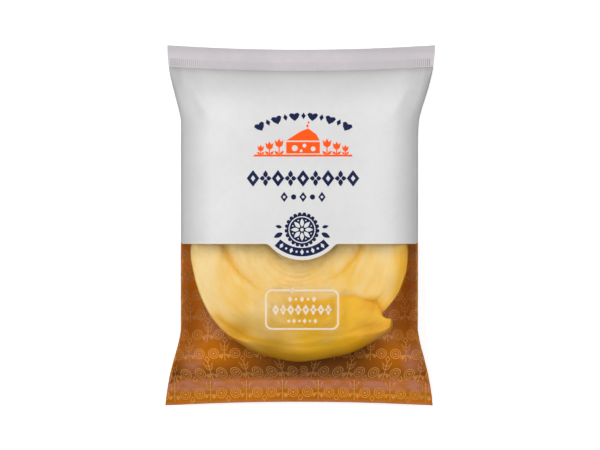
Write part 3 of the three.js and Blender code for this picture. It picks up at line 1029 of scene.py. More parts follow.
class InkLayer:
    """Lays flat artwork on the film as thin ink: a group that the artwork's trees share, and those trees."""

    SOCKETS = {"Film": "Object", "Lift": "Float", "Thickness": "Float", "Ink": "Material"}
    MERGE = 2e-7
    # Share of the film's painted shade that ink on the inner face takes.
    INNER_SHADE_SHARE = 0.7

    def __init__(self, film: Object) -> None:
        """Builds the shared group and the trees.

        Args:
            film: The reference mesh that the artwork is laid on.
        """
        self.film = film
        self.group = self.build_group()
        self.plain = self.build_plain()
        self.row = self.build_row()
        self.field = self.build_field()

    @staticmethod
    def sample(tree: GeometryTree, flat: Socket, key: str | None = None) -> bpy.types.NodeOutputs:
        """Reads the film at flat places.

        Args:
            tree: The tree that reads it.
            flat: The places, in film coordinates.
            key: The film's attribute that is read, or None for its position in space.

        Returns:
            The value's socket and, after it, whether there is film.
        """
        w = tree.wiring
        what = w.field(key) if key else w.out("GeometryNodeInputPosition")
        given = {0: w.shape(tree.inputs["Film"], False), 1: what, 2: w.field(FILM_UV), 3: flat}
        return w.add("GeometryNodeSampleUVSurface", given, data_type="FLOAT_VECTOR").outputs

    def build_group(self) -> bpy.types.NodeTree:
        """The group that thickens flat artwork, wraps it round the film and gives it the film's painted shade and
        painted light.
        """
        inner = GeometryTree("ink_on_film", self.SOCKETS)
        w, inputs = inner.wiring, inner.inputs
        place = w.split(w.out("GeometryNodeInputPosition"))
        flat = w.out("ShaderNodeCombineXYZ", {0: place[0], 1: place[1]})
        spot, normal, film_light_and_shade = (self.sample(inner, flat, key) for key in (None, FILM_NORMAL, FILM_PAINTED_LIGHT))
        every = w.out("GeometryNodeRealizeInstances", {0: inputs["Geometry"]})
        off = {"Geometry": every, "Selection": w.minus(1.0, spot["Is Valid"])}
        real = w.out("GeometryNodeDeleteGeometry", off, domain="POINT")
        below = w.out("GeometryNodeFlipFaces", {0: real})
        extrude = {"Mesh": real, "Offset Scale": inputs["Thickness"], "Individual": False}
        above = w.out("GeometryNodeExtrudeMesh", extrude, mode="FACES")
        solid = w.out("GeometryNodeMergeByDistance", {"Geometry": w.join(below, above), "Distance": self.MERGE})
        height = w.plus(place[2], inputs["Lift"])
        offset = w.out("ShaderNodeVectorMath", {0: normal[0], 3: height}, operation="SCALE")
        laid = w.out("GeometryNodeSetPosition", {"Geometry": solid, "Position": spot[0], "Offset": offset})
        # The ink takes the film's painted shade, and on the inner face a share of its pocket shade and its painted
        # light.
        outer, inner_shade, glow = w.split(film_light_and_shade[0])
        inside = w.math("LESS_THAN", inputs["Lift"], -0.05 * MM)
        tone = w.plus(w.times(w.times(inner_shade, self.INNER_SHADE_SHARE), inside), w.times(outer, w.minus(1.0, inside)))
        for key, value in ((PAINTED_SHADE, tone), (PAINTED_GLOW, w.times(glow, inside))):
            laid = w.out("GeometryNodeStoreNamedAttribute", {"Geometry": laid, "Name": key, "Value": value},
                         data_type="FLOAT", domain="POINT")
        inner.finish(w.out("GeometryNodeSetMaterial", {"Geometry": laid, "Material": inputs["Ink"]}))
        return inner.tree

    def wrap(self, tree: GeometryTree, flat: Socket) -> None:
        """Ends a tree by laying its flat artwork on the film."""
        w, inputs = tree.wiring, tree.inputs
        given = {"Geometry": flat, **{key: inputs[key] for key in self.SOCKETS}}
        laid = w.out("GeometryNodeGroup", given, node_tree=self.group)
        real = w.out("GeometryNodeRealizeInstances", {0: laid})
        tree.finish(w.out("GeometryNodeSetMaterial", {"Geometry": real, "Material": inputs["Ink"]}))

    def build_plain(self) -> GeometryTree:
        """The tree for artwork that is drawn once."""
        tree = GeometryTree("single_artwork", self.SOCKETS)
        self.wrap(tree, tree.inputs["Geometry"])
        return tree

    def build_row(self) -> GeometryTree:
        """The tree that sets two marks by turns along lines."""
        tree = GeometryTree("marks_along_lines", {
            "Odd Mark": "Object", "Even Mark": "Object", "Pitch": "Float", **self.SOCKETS,
        })
        w, inputs = tree.wiring, tree.inputs
        line = w.out("GeometryNodeMeshToCurve", {0: inputs["Geometry"]})
        spots = w.add("GeometryNodeCurveToPoints", {"Curve": line, "Length": inputs["Pitch"]}, mode="LENGTH").outputs
        turn = w.out("FunctionNodeAlignRotationToVector", {"Vector": spots["Tangent"]}, axis="X", pivot_axis="Z")
        even = w.math("FLOORED_MODULO", w.out("GeometryNodeInputIndex"), 2.0)
        copies = []
        for key, chosen in (("Odd Mark", w.minus(1.0, even)), ("Even Mark", even)):
            given = {"Points": spots["Points"], "Selection": chosen, "Instance": w.shape(inputs[key]), "Rotation": turn}
            copies.append(w.out("GeometryNodeInstanceOnPoints", given))
        self.wrap(tree, w.join(*copies))
        return tree

    def build_field(self) -> GeometryTree:
        """The tree that repeats a motif over the brown film in rows half a step apart."""
        tree = GeometryTree("half_drop_field", {
            "Motif": "Object", "Pitch U": "Float", "Pitch V": "Float", "Columns": "Int", "Rows": "Int",
            "Middle V": "Float", "Top V": "Float", "Weld V": "Float", "Window Share": "Float", "Turned Up": "Float",
            **self.SOCKETS,
        })
        w, inputs = tree.wiring, tree.inputs
        motif = w.shape(inputs["Motif"])
        counts = [inputs["Columns"], inputs["Rows"]]
        size_u, size_v = (w.times(inputs[f"Pitch {way}"], w.minus(count, 1.0)) for way, count in zip("UV", counts))
        grid = {"Size X": size_u, "Size Y": size_v, "Vertices X": counts[0], "Vertices Y": counts[1]}
        copies = [inputs["Geometry"]]
        for drop in (0.0, 0.5):
            up = w.plus(inputs["Middle V"], w.times(inputs["Pitch V"], drop))
            shift = w.out("ShaderNodeCombineXYZ", {0: w.times(inputs["Pitch U"], drop), 1: up})
            spots = w.out("GeometryNodeMeshGrid", grid)
            spots = w.out("GeometryNodeTransform", {"Geometry": spots, "Translation": shift})
            copies.append(w.out("GeometryNodeInstanceOnPoints", {"Points": spots, "Instance": motif}))
        real = w.out("GeometryNodeRealizeInstances", {0: w.join(*copies)})
        place = w.split(w.out("GeometryNodeInputPosition"))
        over = w.math("GREATER_THAN", place[1], inputs["Top V"])
        in_body = w.math("GREATER_THAN", place[1], inputs["Weld V"])
        flat = w.out("ShaderNodeCombineXYZ", {0: place[0], 1: place[1]})
        turned = w.split(self.sample(tree, flat, FILM_SHARE)[0])[0]
        in_window = w.times(in_body, w.math("LESS_THAN", turned, inputs["Window Share"]))
        in_weld = w.times(w.minus(1.0, in_body), inputs["Turned Up"])
        out = w.plus(w.plus(over, in_window), in_weld, clamp=True)
        kept = w.out("GeometryNodeDeleteGeometry", {"Geometry": real, "Selection": out}, domain="FACE")
        self.wrap(tree, kept)
        return tree

    def lay(self, tree: GeometryTree, name: str, host: Mesh, ink: Material,
            lift: float, thickness: float, **values: Any) -> Object:
        """Runs one of the trees.

        Args:
            tree: Which tree.
            name: Name of the object.
            host: Mesh that the tree starts from.
            ink: Material of the ink.
            lift: Height of its underside over the film's outer face, in millimetres.
            thickness: Its thickness in millimetres, below 0 for ink on the film's inside.
            **values: The tree's other inputs, by name with spaces as underscores.

        Returns:
            The object.
        """
        given = {"Film": self.film, "Lift": lift * MM, "Thickness": thickness * MM, "Ink": ink}
        given |= {key.replace("_", " "): value for key, value in values.items()}
        return tree.run(name, host, given)


def join(name: str, pieces: Sequence[Object]) -> Object:
    """Joins objects into the first one's mesh and gives it a name."""
    work = bmesh.new()
    for piece in pieces:
        work.from_mesh(piece.data)
    for piece in pieces[1:]:
        bpy.data.objects.remove(piece)
    kept = pieces[0]
    work.to_mesh(kept.data)
    work.free()
    kept.name = kept.data.name = name
    tidy_mesh(kept, turn=False)
    return kept


@dataclass
class FrontArtwork:
    """The printed decoration on the light field and on the window: folk ornaments and a wedge of cheese."""

    layer: InkLayer
    lift: float = -0.03
    ink: float = 0.09
    second_ink: float = 0.14
    arc_centre: Point = (1.4, 8.3)
    arc_radius: float = 39.6
    arc_half_turn: float = 28.6
    row_height: float = 20.4
    small_row_height: float = 12.3
    ground: float = 30.3
    middle: float = 1.2
    badge: Point = (0.74, -1.9)
    garland_centre: Point = (0.74, 3.9)
    garland_radii: Point = (13.7, 17.4)
    garland_half_turn: float = 43.0
    frame_middle: Point = (0.74, -36.7)
    frame_size: Point = (31.4, 16.9)
    marks: list[Object] = field(default_factory=list)

    def mark(self, sketch: Sketch) -> Object:
        """Keeps a small flat sketch as an object that a tree can repeat."""
        made = new_object(f"mark_{len(self.marks)}", sketch.mesh("mark"))
        self.marks.append(made)
        return made

    def clear_marks(self) -> None:
        """Removes the repeated sketches once the artwork is made."""
        for made in self.marks:
            bpy.data.objects.remove(made)
        self.marks.clear()

    def once(self, name: str, sketch: Sketch, ink: Material, thickness: float) -> Object:
        """Lays a sketch that is drawn once."""
        return self.layer.lay(self.layer.plain, name, sketch.mesh(name), ink, self.lift, thickness)

    def arc(self, radius: float, half_turn: float, centre: Point, middle_turn: float = 90.0) -> Loop:
        """An arc from left to right, as a fine line."""
        turns = np.radians(np.linspace(middle_turn + half_turn, middle_turn - half_turn, 160))
        return np.stack([centre[0] + radius * np.cos(turns), centre[1] + radius * np.sin(turns)], 1)

    @staticmethod
    def level(width: float, x: float, y: float) -> Loop:
        """A level line of a width round a place."""
        return np.array([(x - width / 2, y), (x + width / 2, y)])

    def rows(self, prefix: str, ink: Material, thickness: float,
             rows: Sequence[tuple[Loop, float, Sketch, Sketch]]) -> list[Object]:
        """Lays rows of two marks by turns.

        Args:
            prefix: Start of the objects' names.
            ink: Material of the ink.
            thickness: Thickness of the ink.
            rows: For each row its line, the pitch of its marks and its two marks.

        Returns:
            One object for each row.
        """
        return [
            self.layer.lay(self.layer.row, f"{prefix}_{k}", path_mesh(f"{prefix}_{k}", line), ink, self.lift,
                           thickness, Pitch=pitch * MM, Odd_Mark=self.mark(odd), Even_Mark=self.mark(even))
            for k, (line, pitch, odd, even) in enumerate(rows)
        ]

    def navy(self, ink: Material) -> Object:
        """The dark blue rows, the arch of hearts, and the medallion over its garland band."""
        made = self.rows("navy", ink, self.ink, [
            (self.arc(self.arc_radius, self.arc_half_turn, self.arc_centre), 3.94,
             filled(heart(4.3)), filled(lozenge(2.0, 3.2))),
            (self.level(43.5, self.middle, self.row_height), 5.42,
             filled(lozenge(5.5, 7.3), lozenge(2.0, 2.7)), self.cross(5.1, 6.9, 2.3)),
            (self.level(16.4, self.middle, self.small_row_height), 4.05,
             filled(lozenge(3.2, 4.5), disc(0.6, 10)), filled(disc(1.15, 16))),
            (self.arc(6.75, 180.0, self.badge), math.tau * 6.75 / 22,
             filled(disc(0.85, 12)), filled(disc(0.85, 12))),
        ])
        x, y = self.badge
        low, high = (self.arc(r, self.garland_half_turn, self.garland_centre, 270.0) for r in self.garland_radii)
        badge = filled(placed(disc(6.6, 56), x, y), np.concatenate([low, high[::-1]]))
        for side in (-1, 1):
            badge.fill(placed(leaf(4.4, 2.1), x + side * 8.4, y - 1.4, 90 - side * 118))
            badge.fill(placed(leaf(3.0, 1.5), x + side * 8.7, y + 1.0, 90 - side * 78))
        return join("navy_print", [*made, self.once("badge", badge, ink, self.ink)])

    @staticmethod
    def cross(width: float, height: float, petal: float) -> Sketch:
        """Four petals about a point."""
        sketch = Sketch()
        for turn, reach in ((0, width), (90, height), (180, width), (270, height)):
            start = placed(np.array([(0.3, 0.0)]), turn=turn)[0]
            sketch.fill(placed(leaf(reach / 2 - 0.3, petal * 0.9), *start, turn))
        return sketch

    def orange(self, ink: Material) -> Object:
        """A wedge of cheese on a ground line between two rows of tulips."""
        x, y = self.middle, self.ground
        wedge = np.array([(-7.3, 0.9), (7.3, 0.9), (7.3, 5.9), (-7.3, 5.9)])
        top = np.array([(-7.3, 6.5), (7.3, 6.5), (5.7, 9.3), (2.2, 11.8), (-1.2, 10.4)])
        holes = ((1.3, -3.6, 3.2), (0.85, 0.6, 4.3), (1.05, 4.4, 2.9), (0.6, -0.8, 2.0))
        sketch = filled(placed(wedge, x, y), placed(top, x, y))
        sketch.fill(*(placed(disc(r, 16), x + dx, y + dy) for r, dx, dy in holes))
        sketch.stroke(np.stack([np.linspace(-21.4, 21.4, 60) + x, np.full(60, y)], 1), 0.85)
        right = np.array([(0, 3.2), (0.85, 1.7), (1.95, 2.6), (1.5, 0.1), (0, -0.8)])
        tulip = np.concatenate([right[3:0:-1] * (-1, 1), right])
        for side in (-1, 1):
            for away, stem, size in ((10.4, 3.6, 1.0), (14.6, 2.6, 0.92), (18.4, 1.7, 0.75)):
                foot = x + side * away
                sketch.stroke(np.array([(foot, y + 0.3), (foot, y + stem)]), 0.5)
                sketch.fill(placed(tulip, foot, y + stem + 0.6, size=size))
                for turn, aside in ((38, 0.3), (142, -0.3)):
                    sketch.fill(placed(leaf(2.3 * size, 1.15 * size), foot + aside, y + 0.55, turn))
        for k, height in enumerate((12.9, 14.5)):
            sketch.fill(placed(lozenge(1.15 - 0.2 * k, 1.7 - 0.25 * k), x + 1.9 + 0.5 * k, y + height))
        return self.once("orange_print", sketch, ink, self.ink)

    def white(self, ink: Material) -> Object:
        """The medallion's ring and rosette, and the marks on its garland band."""
        x, y = self.badge
        sketch = Sketch().stroke(placed(disc(5.65, 56), x, y), 0.42, closed=True)
        for k in range(8):
            base = placed(np.array([(1.25, 0.0)]), x, y, 45 * k)[0]
            sketch.fill(placed(leaf(3.6, 1.7), *base, 45 * k))
            sketch.fill(placed(disc(0.32, 8), *placed(np.array([(4.3, 0.0)]), x, y, 45 * k + 22.5)[0]))
        sketch.fill(placed(disc(0.75, 14), x, y))
        middle = sum(self.garland_radii) / 2
        band = self.rows("white", ink, self.second_ink, [
            (self.arc(middle, self.garland_half_turn - 8, self.garland_centre, 270.0), 2.35,
             filled(lozenge(1.6, 2.5)), filled(disc(0.5, 10))),
        ])
        return join("white_print", [self.once("rosette", sketch, ink, self.second_ink), *band])

    def cream(self, ink: Material, tube: FilmTube) -> Object:
        """The rounded frame on the window with its rows of ornament, and a cream line under the light field's edge, a
        painted highlight of the film's edge.
        """
        x, y = self.frame_middle
        sketch = Sketch().stroke(placed(rounded_box(*self.frame_size, 2.7), x, y), 0.8, closed=True)
        sketch.fill(placed(leaf(3.0, 1.4), x - 4.6, y + 7.2, 72))
        # Painted highlight: a thin cream line just under the light field's edge.
        columns = slice(tube.first + tube.window_margin, tube.last - tube.window_margin + 1)
        under = np.stack([tube.u[tube.row_edge, columns], tube.v[tube.row_edge, columns] - 0.16], 1)
        sketch.stroke(under, 0.34)
        spans = ((4.6, 10.4), (0.0, 22.9), (-4.9, 11.6))
        lines = [self.level(wide, x, y + up) for up, wide in spans]
        marks = self.rows("cream", ink, self.ink, [
            (lines[0], 2.58, filled(lozenge(1.9, 2.6)), filled(disc(0.62, 12))),
            (lines[1], 3.25, filled(lozenge(3.1, 4.7), disc(0.5, 8)), self.cross(3.0, 4.6, 1.6)),
            (lines[2], 2.3, filled(disc(0.58, 12)), filled(lozenge(1.7, 2.3))),
        ])
        return join("cream_print", [self.once("cream", sketch, ink, self.ink), *marks])


@dataclass
class FolkPattern:
    """The traditional pattern of the brown film: a leafy plant between two ringed hearts, in half-dropped rows."""

    layer: InkLayer
    film: float
    pitch: Point = (15.8, 17.6)
    line: float = 0.36
    columns: int = 16
    rows: int = 7
    middle: float = -38.9
    top: float = -8.3
    weld: float = -70.0
    window: float = 0.982
    sunk: float = 0.03
    ink: float = 0.08

    def motif(self) -> Sketch:
        """One plant and its two rings."""
        sketch = Sketch().stroke(np.array([(0, -4.2), (0, 0), (0, 4.6)]), self.line)
        sketch.stroke(placed(lozenge(2.0, 2.5), 0, 5.4), self.line * 0.85, closed=True)
        for side in (-1, 1):
            for low, reach in ((2.0, 2.0), (0.4, 1.5)):
                curl = np.array([(0, low), (0.5 * reach, low + 0.35), (0.9 * reach, low + 1.0), (reach, low + 1.8)])
                sketch.stroke(curl * (side, 1), self.line * 0.85)
            for k, (turn, length) in enumerate(((-62, 3.3), (-40, 3.2), (-18, 2.8))):
                sketch.fill(placed(leaf(length, 0.62, 4), side * 0.25, -1.0 - 0.1 * k, 90 - side * (90 - turn)))
            ring = placed(disc(2.2, 20), side * 4.75, -0.9)
            sketch.stroke(ring, self.line, closed=True)
            sketch.stroke(placed(disc(1.35, 14), side * 4.75, -0.9), self.line * 0.8, closed=True)
            sketch.fill(placed(heart(1.2, 8), side * 4.75, -0.9))
        return sketch

    def build(self, name: str, ink: Material, inside: bool) -> Object:
        """Lays the pattern on one face of the brown film.

        Args:
            name: Name of the object.
            ink: Material of the ink.
            inside: Whether it is the face that shows through the window.

        Returns:
            The object.
        """
        motif = new_object("motif", self.motif().mesh("motif"))
        empty = bpy.data.meshes.new("empty")
        lift, ink_depth = (-self.film + self.sunk, -self.ink) if inside else (-self.sunk, self.ink)
        made = self.layer.lay(
            self.layer.field, name, empty, ink, lift, ink_depth, Motif=motif, Pitch_U=self.pitch[0] * MM,
            Pitch_V=self.pitch[1] * MM, Columns=self.columns, Rows=self.rows, Middle_V=self.middle * MM,
            Top_V=self.top * MM, Weld_V=self.weld * MM, Window_Share=self.window, Turned_Up=float(inside),
        )
        bpy.data.objects.remove(motif)
        return made


@dataclass
class WeldRibs:
    """Fine ribs that the sealing jaws press across each weld, on both faces."""

    layer: InkLayer
    form: PackForm
    pitch: float = 0.9
    width: float = 0.4
    height: float = 0.06
    reach: float = 3.4
    start: float = 0.4
    sunk: float = 0.04
    spans: Pairs = ((-57, 57), (62, 116), (-116, -62))

    def build(self, name: str, sign: int, ink: Material) -> Object:
        """Lays the ribs of one end."""
        middle = sign * (self.form.seal_start + self.start + self.reach / 2)
        bar = filled(placed(rounded_box(self.width, self.reach, self.width * 0.45, 2)))
        mark = new_object("rib", bar.mesh("rib"))
        lines = [np.array([(a, middle), (b, middle)]) for a, b in self.spans]
        made = self.layer.lay(self.layer.row, name, path_mesh(name, *lines), ink, -self.sunk,
                              self.height + self.sunk, Pitch=self.pitch * MM, Odd_Mark=mark, Even_Mark=mark)
        bpy.data.objects.remove(mark)
        return made


# --- the cheese ---


@dataclass(frozen=True)
class Fold:
    """A valley where two turns of the coil press together, as x, y and depth along its line."""

    points: tuple[tuple[float, float, float], ...]
    spread: float = 1.0
    line: float = 0.6
    # Strength of the dark amber line along the valley, partly painted shade.
    tint: float = 1.0
    widest: float = 3.0
    right_beside: float = 0.35

    def nearest(self, x: Array, y: Array) -> tuple[Array, Array, Array]:
        """Finds the nearest place on the line for places in the plan.

        Args:
            x: First coordinates.
            y: Second coordinates.

        Returns:
            Distance to the line, below 0 on its left; depth there; share of the line's length.
        """
        line = spline(self.points, 6)
        away, depth, along = np.full(x.shape, 1e9), np.zeros(x.shape), np.zeros(x.shape)
        for k, ((ax, ay, ad), (bx, by, bd)) in enumerate(zip(line, line[1:])):
            dx, dy = bx - ax, by - ay
            t = np.clip(((x - ax) * dx + (y - ay) * dy) / (dx * dx + dy * dy + 1e-12), 0, 1)
            found = np.hypot(x - ax - t * dx, y - ay - t * dy)
            side = np.where(dx * (y - ay) - dy * (x - ax) > 0, -1.0, 1.0)
            near = found < np.abs(away)
            away = np.where(near, found * side, away)
            depth = np.where(near, lerp(ad, bd, t), depth)
            along = np.where(near, (k + t) / (len(line) - 1), along)
        return away, np.maximum(depth, 0), along

    def drop(self, x: Array, y: Array) -> tuple[Array, Array, Array]:
        """Depth of the valley, strength of its dark line, an amber that is partly painted shade, and strength of the
        gold beside it at places in the plan.
        """
        away, depth, _ = self.nearest(x, y)
        left, away = away < 0, np.abs(away)
        wide = self.spread * (1.2 + 0.9 * np.minimum(depth, self.widest))
        cut = 0.5 * np.exp(-((away / wide) ** 2)) + 0.5 * np.exp(-away / self.line)
        strength = self.tint * np.clip(depth, 0, 1)
        beside = strength * np.exp(-((away / (0.9 * wide)) ** 2)) * np.where(left, 1, self.right_beside)
        return depth * cut, strength * np.exp(-away / (1.3 * self.line)), beside


@dataclass
class CheeseCoil:
    """The coil: one rope of pressed curd wound on itself, its loose end tucked in at the lower right.

    Rings of pairs are angle round the centre and value. A patch is a place, its reach across and along, and how much
    gold, amber and painted shade it adds; painted shade below 0 is painted light. A fold's points are places and
    depths. Swells and ripples of the top and bulges of the side are rows of layered.
    """

    centre: Point = (-0.6, -12.4)
    disc_centre: Point = (-1.0, -6.5)
    bottom: float = 0.72
    middle: float = 10.4
    top: float = 22.2
    bottom_round: float = 8.0
    fullness: float = 0.92
    upper_share: float = 0.75
    columns: int = 620
    dense_at: float = 324.6
    dense_reach: float = 4.5
    dense_more: float = 5.0
    top_rings: int = 100
    side_rings: int = 20
    base_rings: int = 5
    outline: Pairs = (
        (4.7, 48), (40, 47.6), (80, 47.3), (120, 47.5), (160, 47.9), (175.3, 47.8), (182.4, 47.5), (191.2, 46.8),
        (206.5, 47.2), (213.4, 47.5), (225.9, 47.8), (237.7, 47.3), (247.6, 47.4), (256.6, 47.2), (270.6, 47.7),
        (279.1, 47.6), (287.9, 48), (296.5, 49), (305.5, 50.1), (312.4, 51.2), (317.4, 52.2), (320.2, 52.6),
        (321.44, 52.4), (322.36, 51.9), (322.84, 51), (323.04, 49.5), (323.15, 47.6), (323.4, 46.4), (324.7, 45.6),
        (325.6, 45.5), (327.8, 45.8), (331.5, 46.2), (335.8, 46.8), (340.1, 47.3), (349.5, 47.6), (357.6, 47.8),
    )
    rounding: Pairs = (
        (0, 0.8), (60, 8), (120, 8), (180, 0.7), (205, 0.7), (225, 0.9), (235, 2), (245, 6), (255, 11), (270, 14.5),
        (290, 13.5), (305, 8), (315, 4), (321, 1.8), (330, 0.9), (345, 0.8),
    )
    # Reach of the deeper amber at the rim, partly painted shade.
    rim: Pairs = (
        (0, 5), (60, 6), (120, 4), (170, 1), (205, 1), (222, 2), (245, 5), (270, 9), (300, 9), (318, 6), (330, 4),
        (345, 5),
    )
    tip: Point = (39.9, -42.8)
    tip_reach: Point = (2.4, 2.2)
    tip_rise: float = 2.0
    film_gap: float = 0.6
    film_blend: float = 1.6
    floor_gap: float = 0.45
    floor_blend: float = 0.4
    least_gold: float = 0.32
    fold_gold: float = 0.42
    gold_from: float = 215.0
    gold_over: float = 70.0
    loose_share: float = 0.52
    fibre_pitch: float = 7.5
    swells: tuple[tuple[float, ...], ...] = ((0.42, 1, 23, 8), (0.18, 1, 9, 18))
    ripples: tuple[tuple[float, ...], ...] = ((0.11, 9, 2.6, 21, 9), (0.17, 12, 6.5, 22))
    bulges: tuple[tuple[float, ...], ...] = ((0.16, 20, 9, 4), (0.05, 6, 2.2, 5))
    # Painted shadow of the light field on the coil: how far it darkens by distance below the field's edge.
    print_shade: Pairs = (
        (0, 0.34), (1, 0.29), (2.6, 0.21), (3.9, 0.17), (5.2, 0.08), (7, 0.02), (9, 0),
    )
    patches: tuple[tuple[float, ...], ...] = (
        (-41.6, -19, 6, 14, -0.36, 0, 0), (-36.5, -36.1, 5, 8, -0.18, 0, 0.08), (-29.8, -29.5, 8, 8, 0.2, 0, 0),
        (-34.2, -21.7, 4.5, 9, 0.12, 0, 0), (-19.8, -44.8, 11, 5, 0.25, 0, 0.22),
        (-13.2, -52.2, 9, 4, 0.3, 0.3, 0.24), (0, -47, 12, 4.5, -0.02, 0, 0.1), (28.2, -42.2, 10, 5.5, 0.5, 0.28, 0),
        (22.6, -19.5, 4, 8, 0.25, 0, 0), (30.4, -10.8, 4, 6, 0.12, 0, -0.06), (36.2, -13, 4, 7, -0.22, 0, 0),
        (31.3, -34.8, 4.6, 3, 0.8, 1, 0), (33.5, -46.1, 5.5, 3.2, 0.5, 1.3, 0), (43.8, -20, 3.2, 17, 0.55, 0, 0),
        (26, -51.5, 8, 3.5, 0.4, 0.6, -0.04), (-28.5, -46.5, 6, 3, 0.5, 0.8, 0.1),
        (-26.3, -41.3, 6, 4, 0.05, 0.1, 0.14), (-37.5, -42, 4, 4, 0.35, 0, 0.02), (14, -47.5, 8, 4.5, -0.3, 0, 0.13),
        (17.3, -21.7, 5, 6, 0.15, 0, 0), (-29.8, -10.8, 3.5, 5, -0.2, 0, -0.1), (0, -16, 9, 3, 0, 0, -0.1),
        (13, -10.8, 4, 3, 0, 0, 0.08), (36, -25.5, 5, 6, 0.15, 0, 0), (-33.3, -15, 3, 7, 0.18, 0, 0),
        (-4, -57.5, 16, 3.2, 0.1, 0.2, 0.28), (11, -52.5, 6, 3.5, -0.1, -0.2, 0.12),
        (29.5, -43.5, 5.5, 4, 0, 0.25, 0.11), (15.7, -57.2, 5, 2.6, 0, 0.1, 0.16), (-11, -52.4, 6, 3, 0, 0.35, 0.03),
        (-36.8, -41.3, 3, 3.5, 0.15, 0.25, 0.04), (-13.5, -47, 5, 2.6, -0.18, 0, 0.06),
        (41.8, -28.2, 3, 6, 0.05, 0, 0.1), (26, -10.8, 3, 4, 0, 0, -0.08), (-26.3, -24, 4, 6, -0.12, 0, 0),
    )
    main_fold: tuple[tuple[float, float, float], ...] = (
        (38.6, -39.3, 2.4), (36.9, -38.8, 2), (35, -36.6, 1.3), (33, -34, 1.1), (29.9, -33.2, 1.2),
        (27.6, -32.4, 0.8), (24.6, -31.3, 0.7), (19.6, -30.9, 0.9), (13, -32, 0.5), (7.7, -32.3, 0.3),
        (-0.1, -31.3, 0.15), (-8.9, -29.8, 0.12), (-15, -28.8, 0.22), (-18.3, -27.7, 0.4), (-20.7, -26, 0.65),
        (-25.6, -21.8, 1.2), (-28.9, -18.1, 1.8), (-30.4, -15.2, 2.1), (-32.5, -10.6, 2.4), (-34, -6.2, 2.7),
        (-34.9, -1.2, 2.9), (-33.3, 8.9, 3), (-28.1, 18, 3), (-18.5, 24.1, 3), (-4.5, 26.8, 3), (9.5, 24.1, 3),
        (19.5, 16.7, 2.9), (25.6, 6.7, 2.7), (27.4, -2.5, 2.1), (26.4, -8.4, 1.7), (25.6, -11.2, 1.5),
        (23.9, -14.7, 1.2), (21.1, -17.9, 0.9), (17.5, -21.1, 0.6), (15.1, -22.5, 0.4), (10.8, -24.3, 0.2),
        (5.4, -25.4, 0.1),
    )

    def folds(self) -> list[Fold]:
        """The coil's other valleys: fine ones in the disc, a branch of the crease and ridges of the outer turn."""
        found = []
        arcs = ((13, 195, 330, 0.42), (14.9, 205, 300, 0.5), (17.4, 220, 318, 0.3), (20.2, 215, 290, 0.26),
                (10.4, 20, 340, 0.5), (6.6, 60, 380, 0.55))
        for k, (radius, start, end, depth) in enumerate(arcs):
            turns = np.radians(np.linspace(start, end, 12))
            grow = radius * (1 + 0.05 * np.sin(turns * 1.5 + k))
            fade = depth * np.sin(np.linspace(0.12, math.pi - 0.12, 12)) ** 0.6
            x = self.disc_centre[0] + grow * np.cos(turns)
            y = self.disc_centre[1] - 0.8 + grow * np.sin(turns)
            found.append(Fold(tuple(zip(x, y, fade)), 0.3, 0.5, 0.55))
        ridge = ((38.9, -43, 0.1), (35.3, -43.2, 0.6), (28.3, -44.5, 0.8), (22.9, -46.3, 0.6), (15, -47.3, 0.4),
                 (5, -48.4, 0.3), (-0.1, -49, 0.1))
        streak = ((-37, -38.3, 0.1), (-33.6, -42.6, 0.8), (-29.3, -45.6, 1.1), (-24.2, -48.6, 1),
                  (-19, -50.3, 0.6), (-12, -51.8, 0.1))
        lower = ((-22, -48.6, 0.05), (-10, -51.6, 0.4), (4, -52.9, 0.45), (18, -51.2, 0.35),
                 (30, -47.9, 0.05))
        branch = ((32.6, -33.6, 0.7), (34.2, -31.8, 0.5), (35.8, -30, 0.3), (37, -27.6, 0.05))
        pinch = ((32.6, -33.8, 0.6), (32.2, -36.2, 0.4), (30.6, -38.4, 0.05))
        soft = ((-22, -33, 0.05), (-26, -37, 0.35), (-22.5, -43, 0.3), (-16, -46.5, 0.05))
        found += [Fold(ridge, 0.8, 0.7, 0.8), Fold(streak, 1.0, 1.2, 1.3), Fold(lower, 0.6, 0.6, 0.6),
                  Fold(branch, 0.6, 0.6), Fold(pinch, 0.7, 0.6), Fold(soft, 2.4, 3.0, 0.4)]
        return found

    @staticmethod
    def around(degrees: Array, pairs: Pairs) -> Array:
        """Reads a ring of angle and value pairs at angles, smoothly."""
        turn = np.array([360.0, 0.0])
        dense = spline(np.vstack([np.array(pairs[-2:]) - turn, pairs, np.array(pairs[:2]) + turn]), 10)
        order = np.argsort(dense[:, 0])
        return np.interp(degrees, dense[order, 0], dense[order, 1])

    def angles(self) -> Array:
        """Angles of the columns in degrees, closest at the tucked end."""
        fine = np.linspace(0, 360, 6001)
        weight = 1 + self.dense_more * np.exp(-(((fine - self.dense_at) / self.dense_reach) ** 2))
        share = np.concatenate([[0], np.cumsum((weight[1:] + weight[:-1]) / 2)])
        return np.interp(np.linspace(0, share[-1], self.columns + 1)[:-1], share, fine)

    def rings(self, degrees: Array) -> tuple[Array, Array]:
        """Radius and height of the body's rings at angles, from the middle of its top to the middle of its base."""
        radius, edge = self.around(degrees, self.outline), self.around(degrees, self.rounding)
        rise, fall, level = self.top - self.middle, self.middle - self.bottom, np.ones_like(radius)
        base, quarter = radius - self.bottom_round, np.linspace(0, math.pi / 2, self.side_rings + 1)[1:]
        full = self.fullness
        found = [((radius - edge) * t**full, level * self.top) for t in np.linspace(0, 1, self.top_rings + 1)[1:]]
        found += [(radius - edge + edge * np.sin(a), level * (self.middle + rise * np.cos(a) ** full)) for a in quarter]
        low = self.bottom_round
        found += [(radius - low * (1 - np.cos(a)), level * (self.middle - fall * np.sin(a))) for a in quarter]
        found += [(base * t, level * self.bottom) for t in np.linspace(1, 0, self.base_rings + 1)[1:-1]]
        radii, heights = (np.array([ring[k] for ring in found]) for k in (0, 1))
        return radii, heights

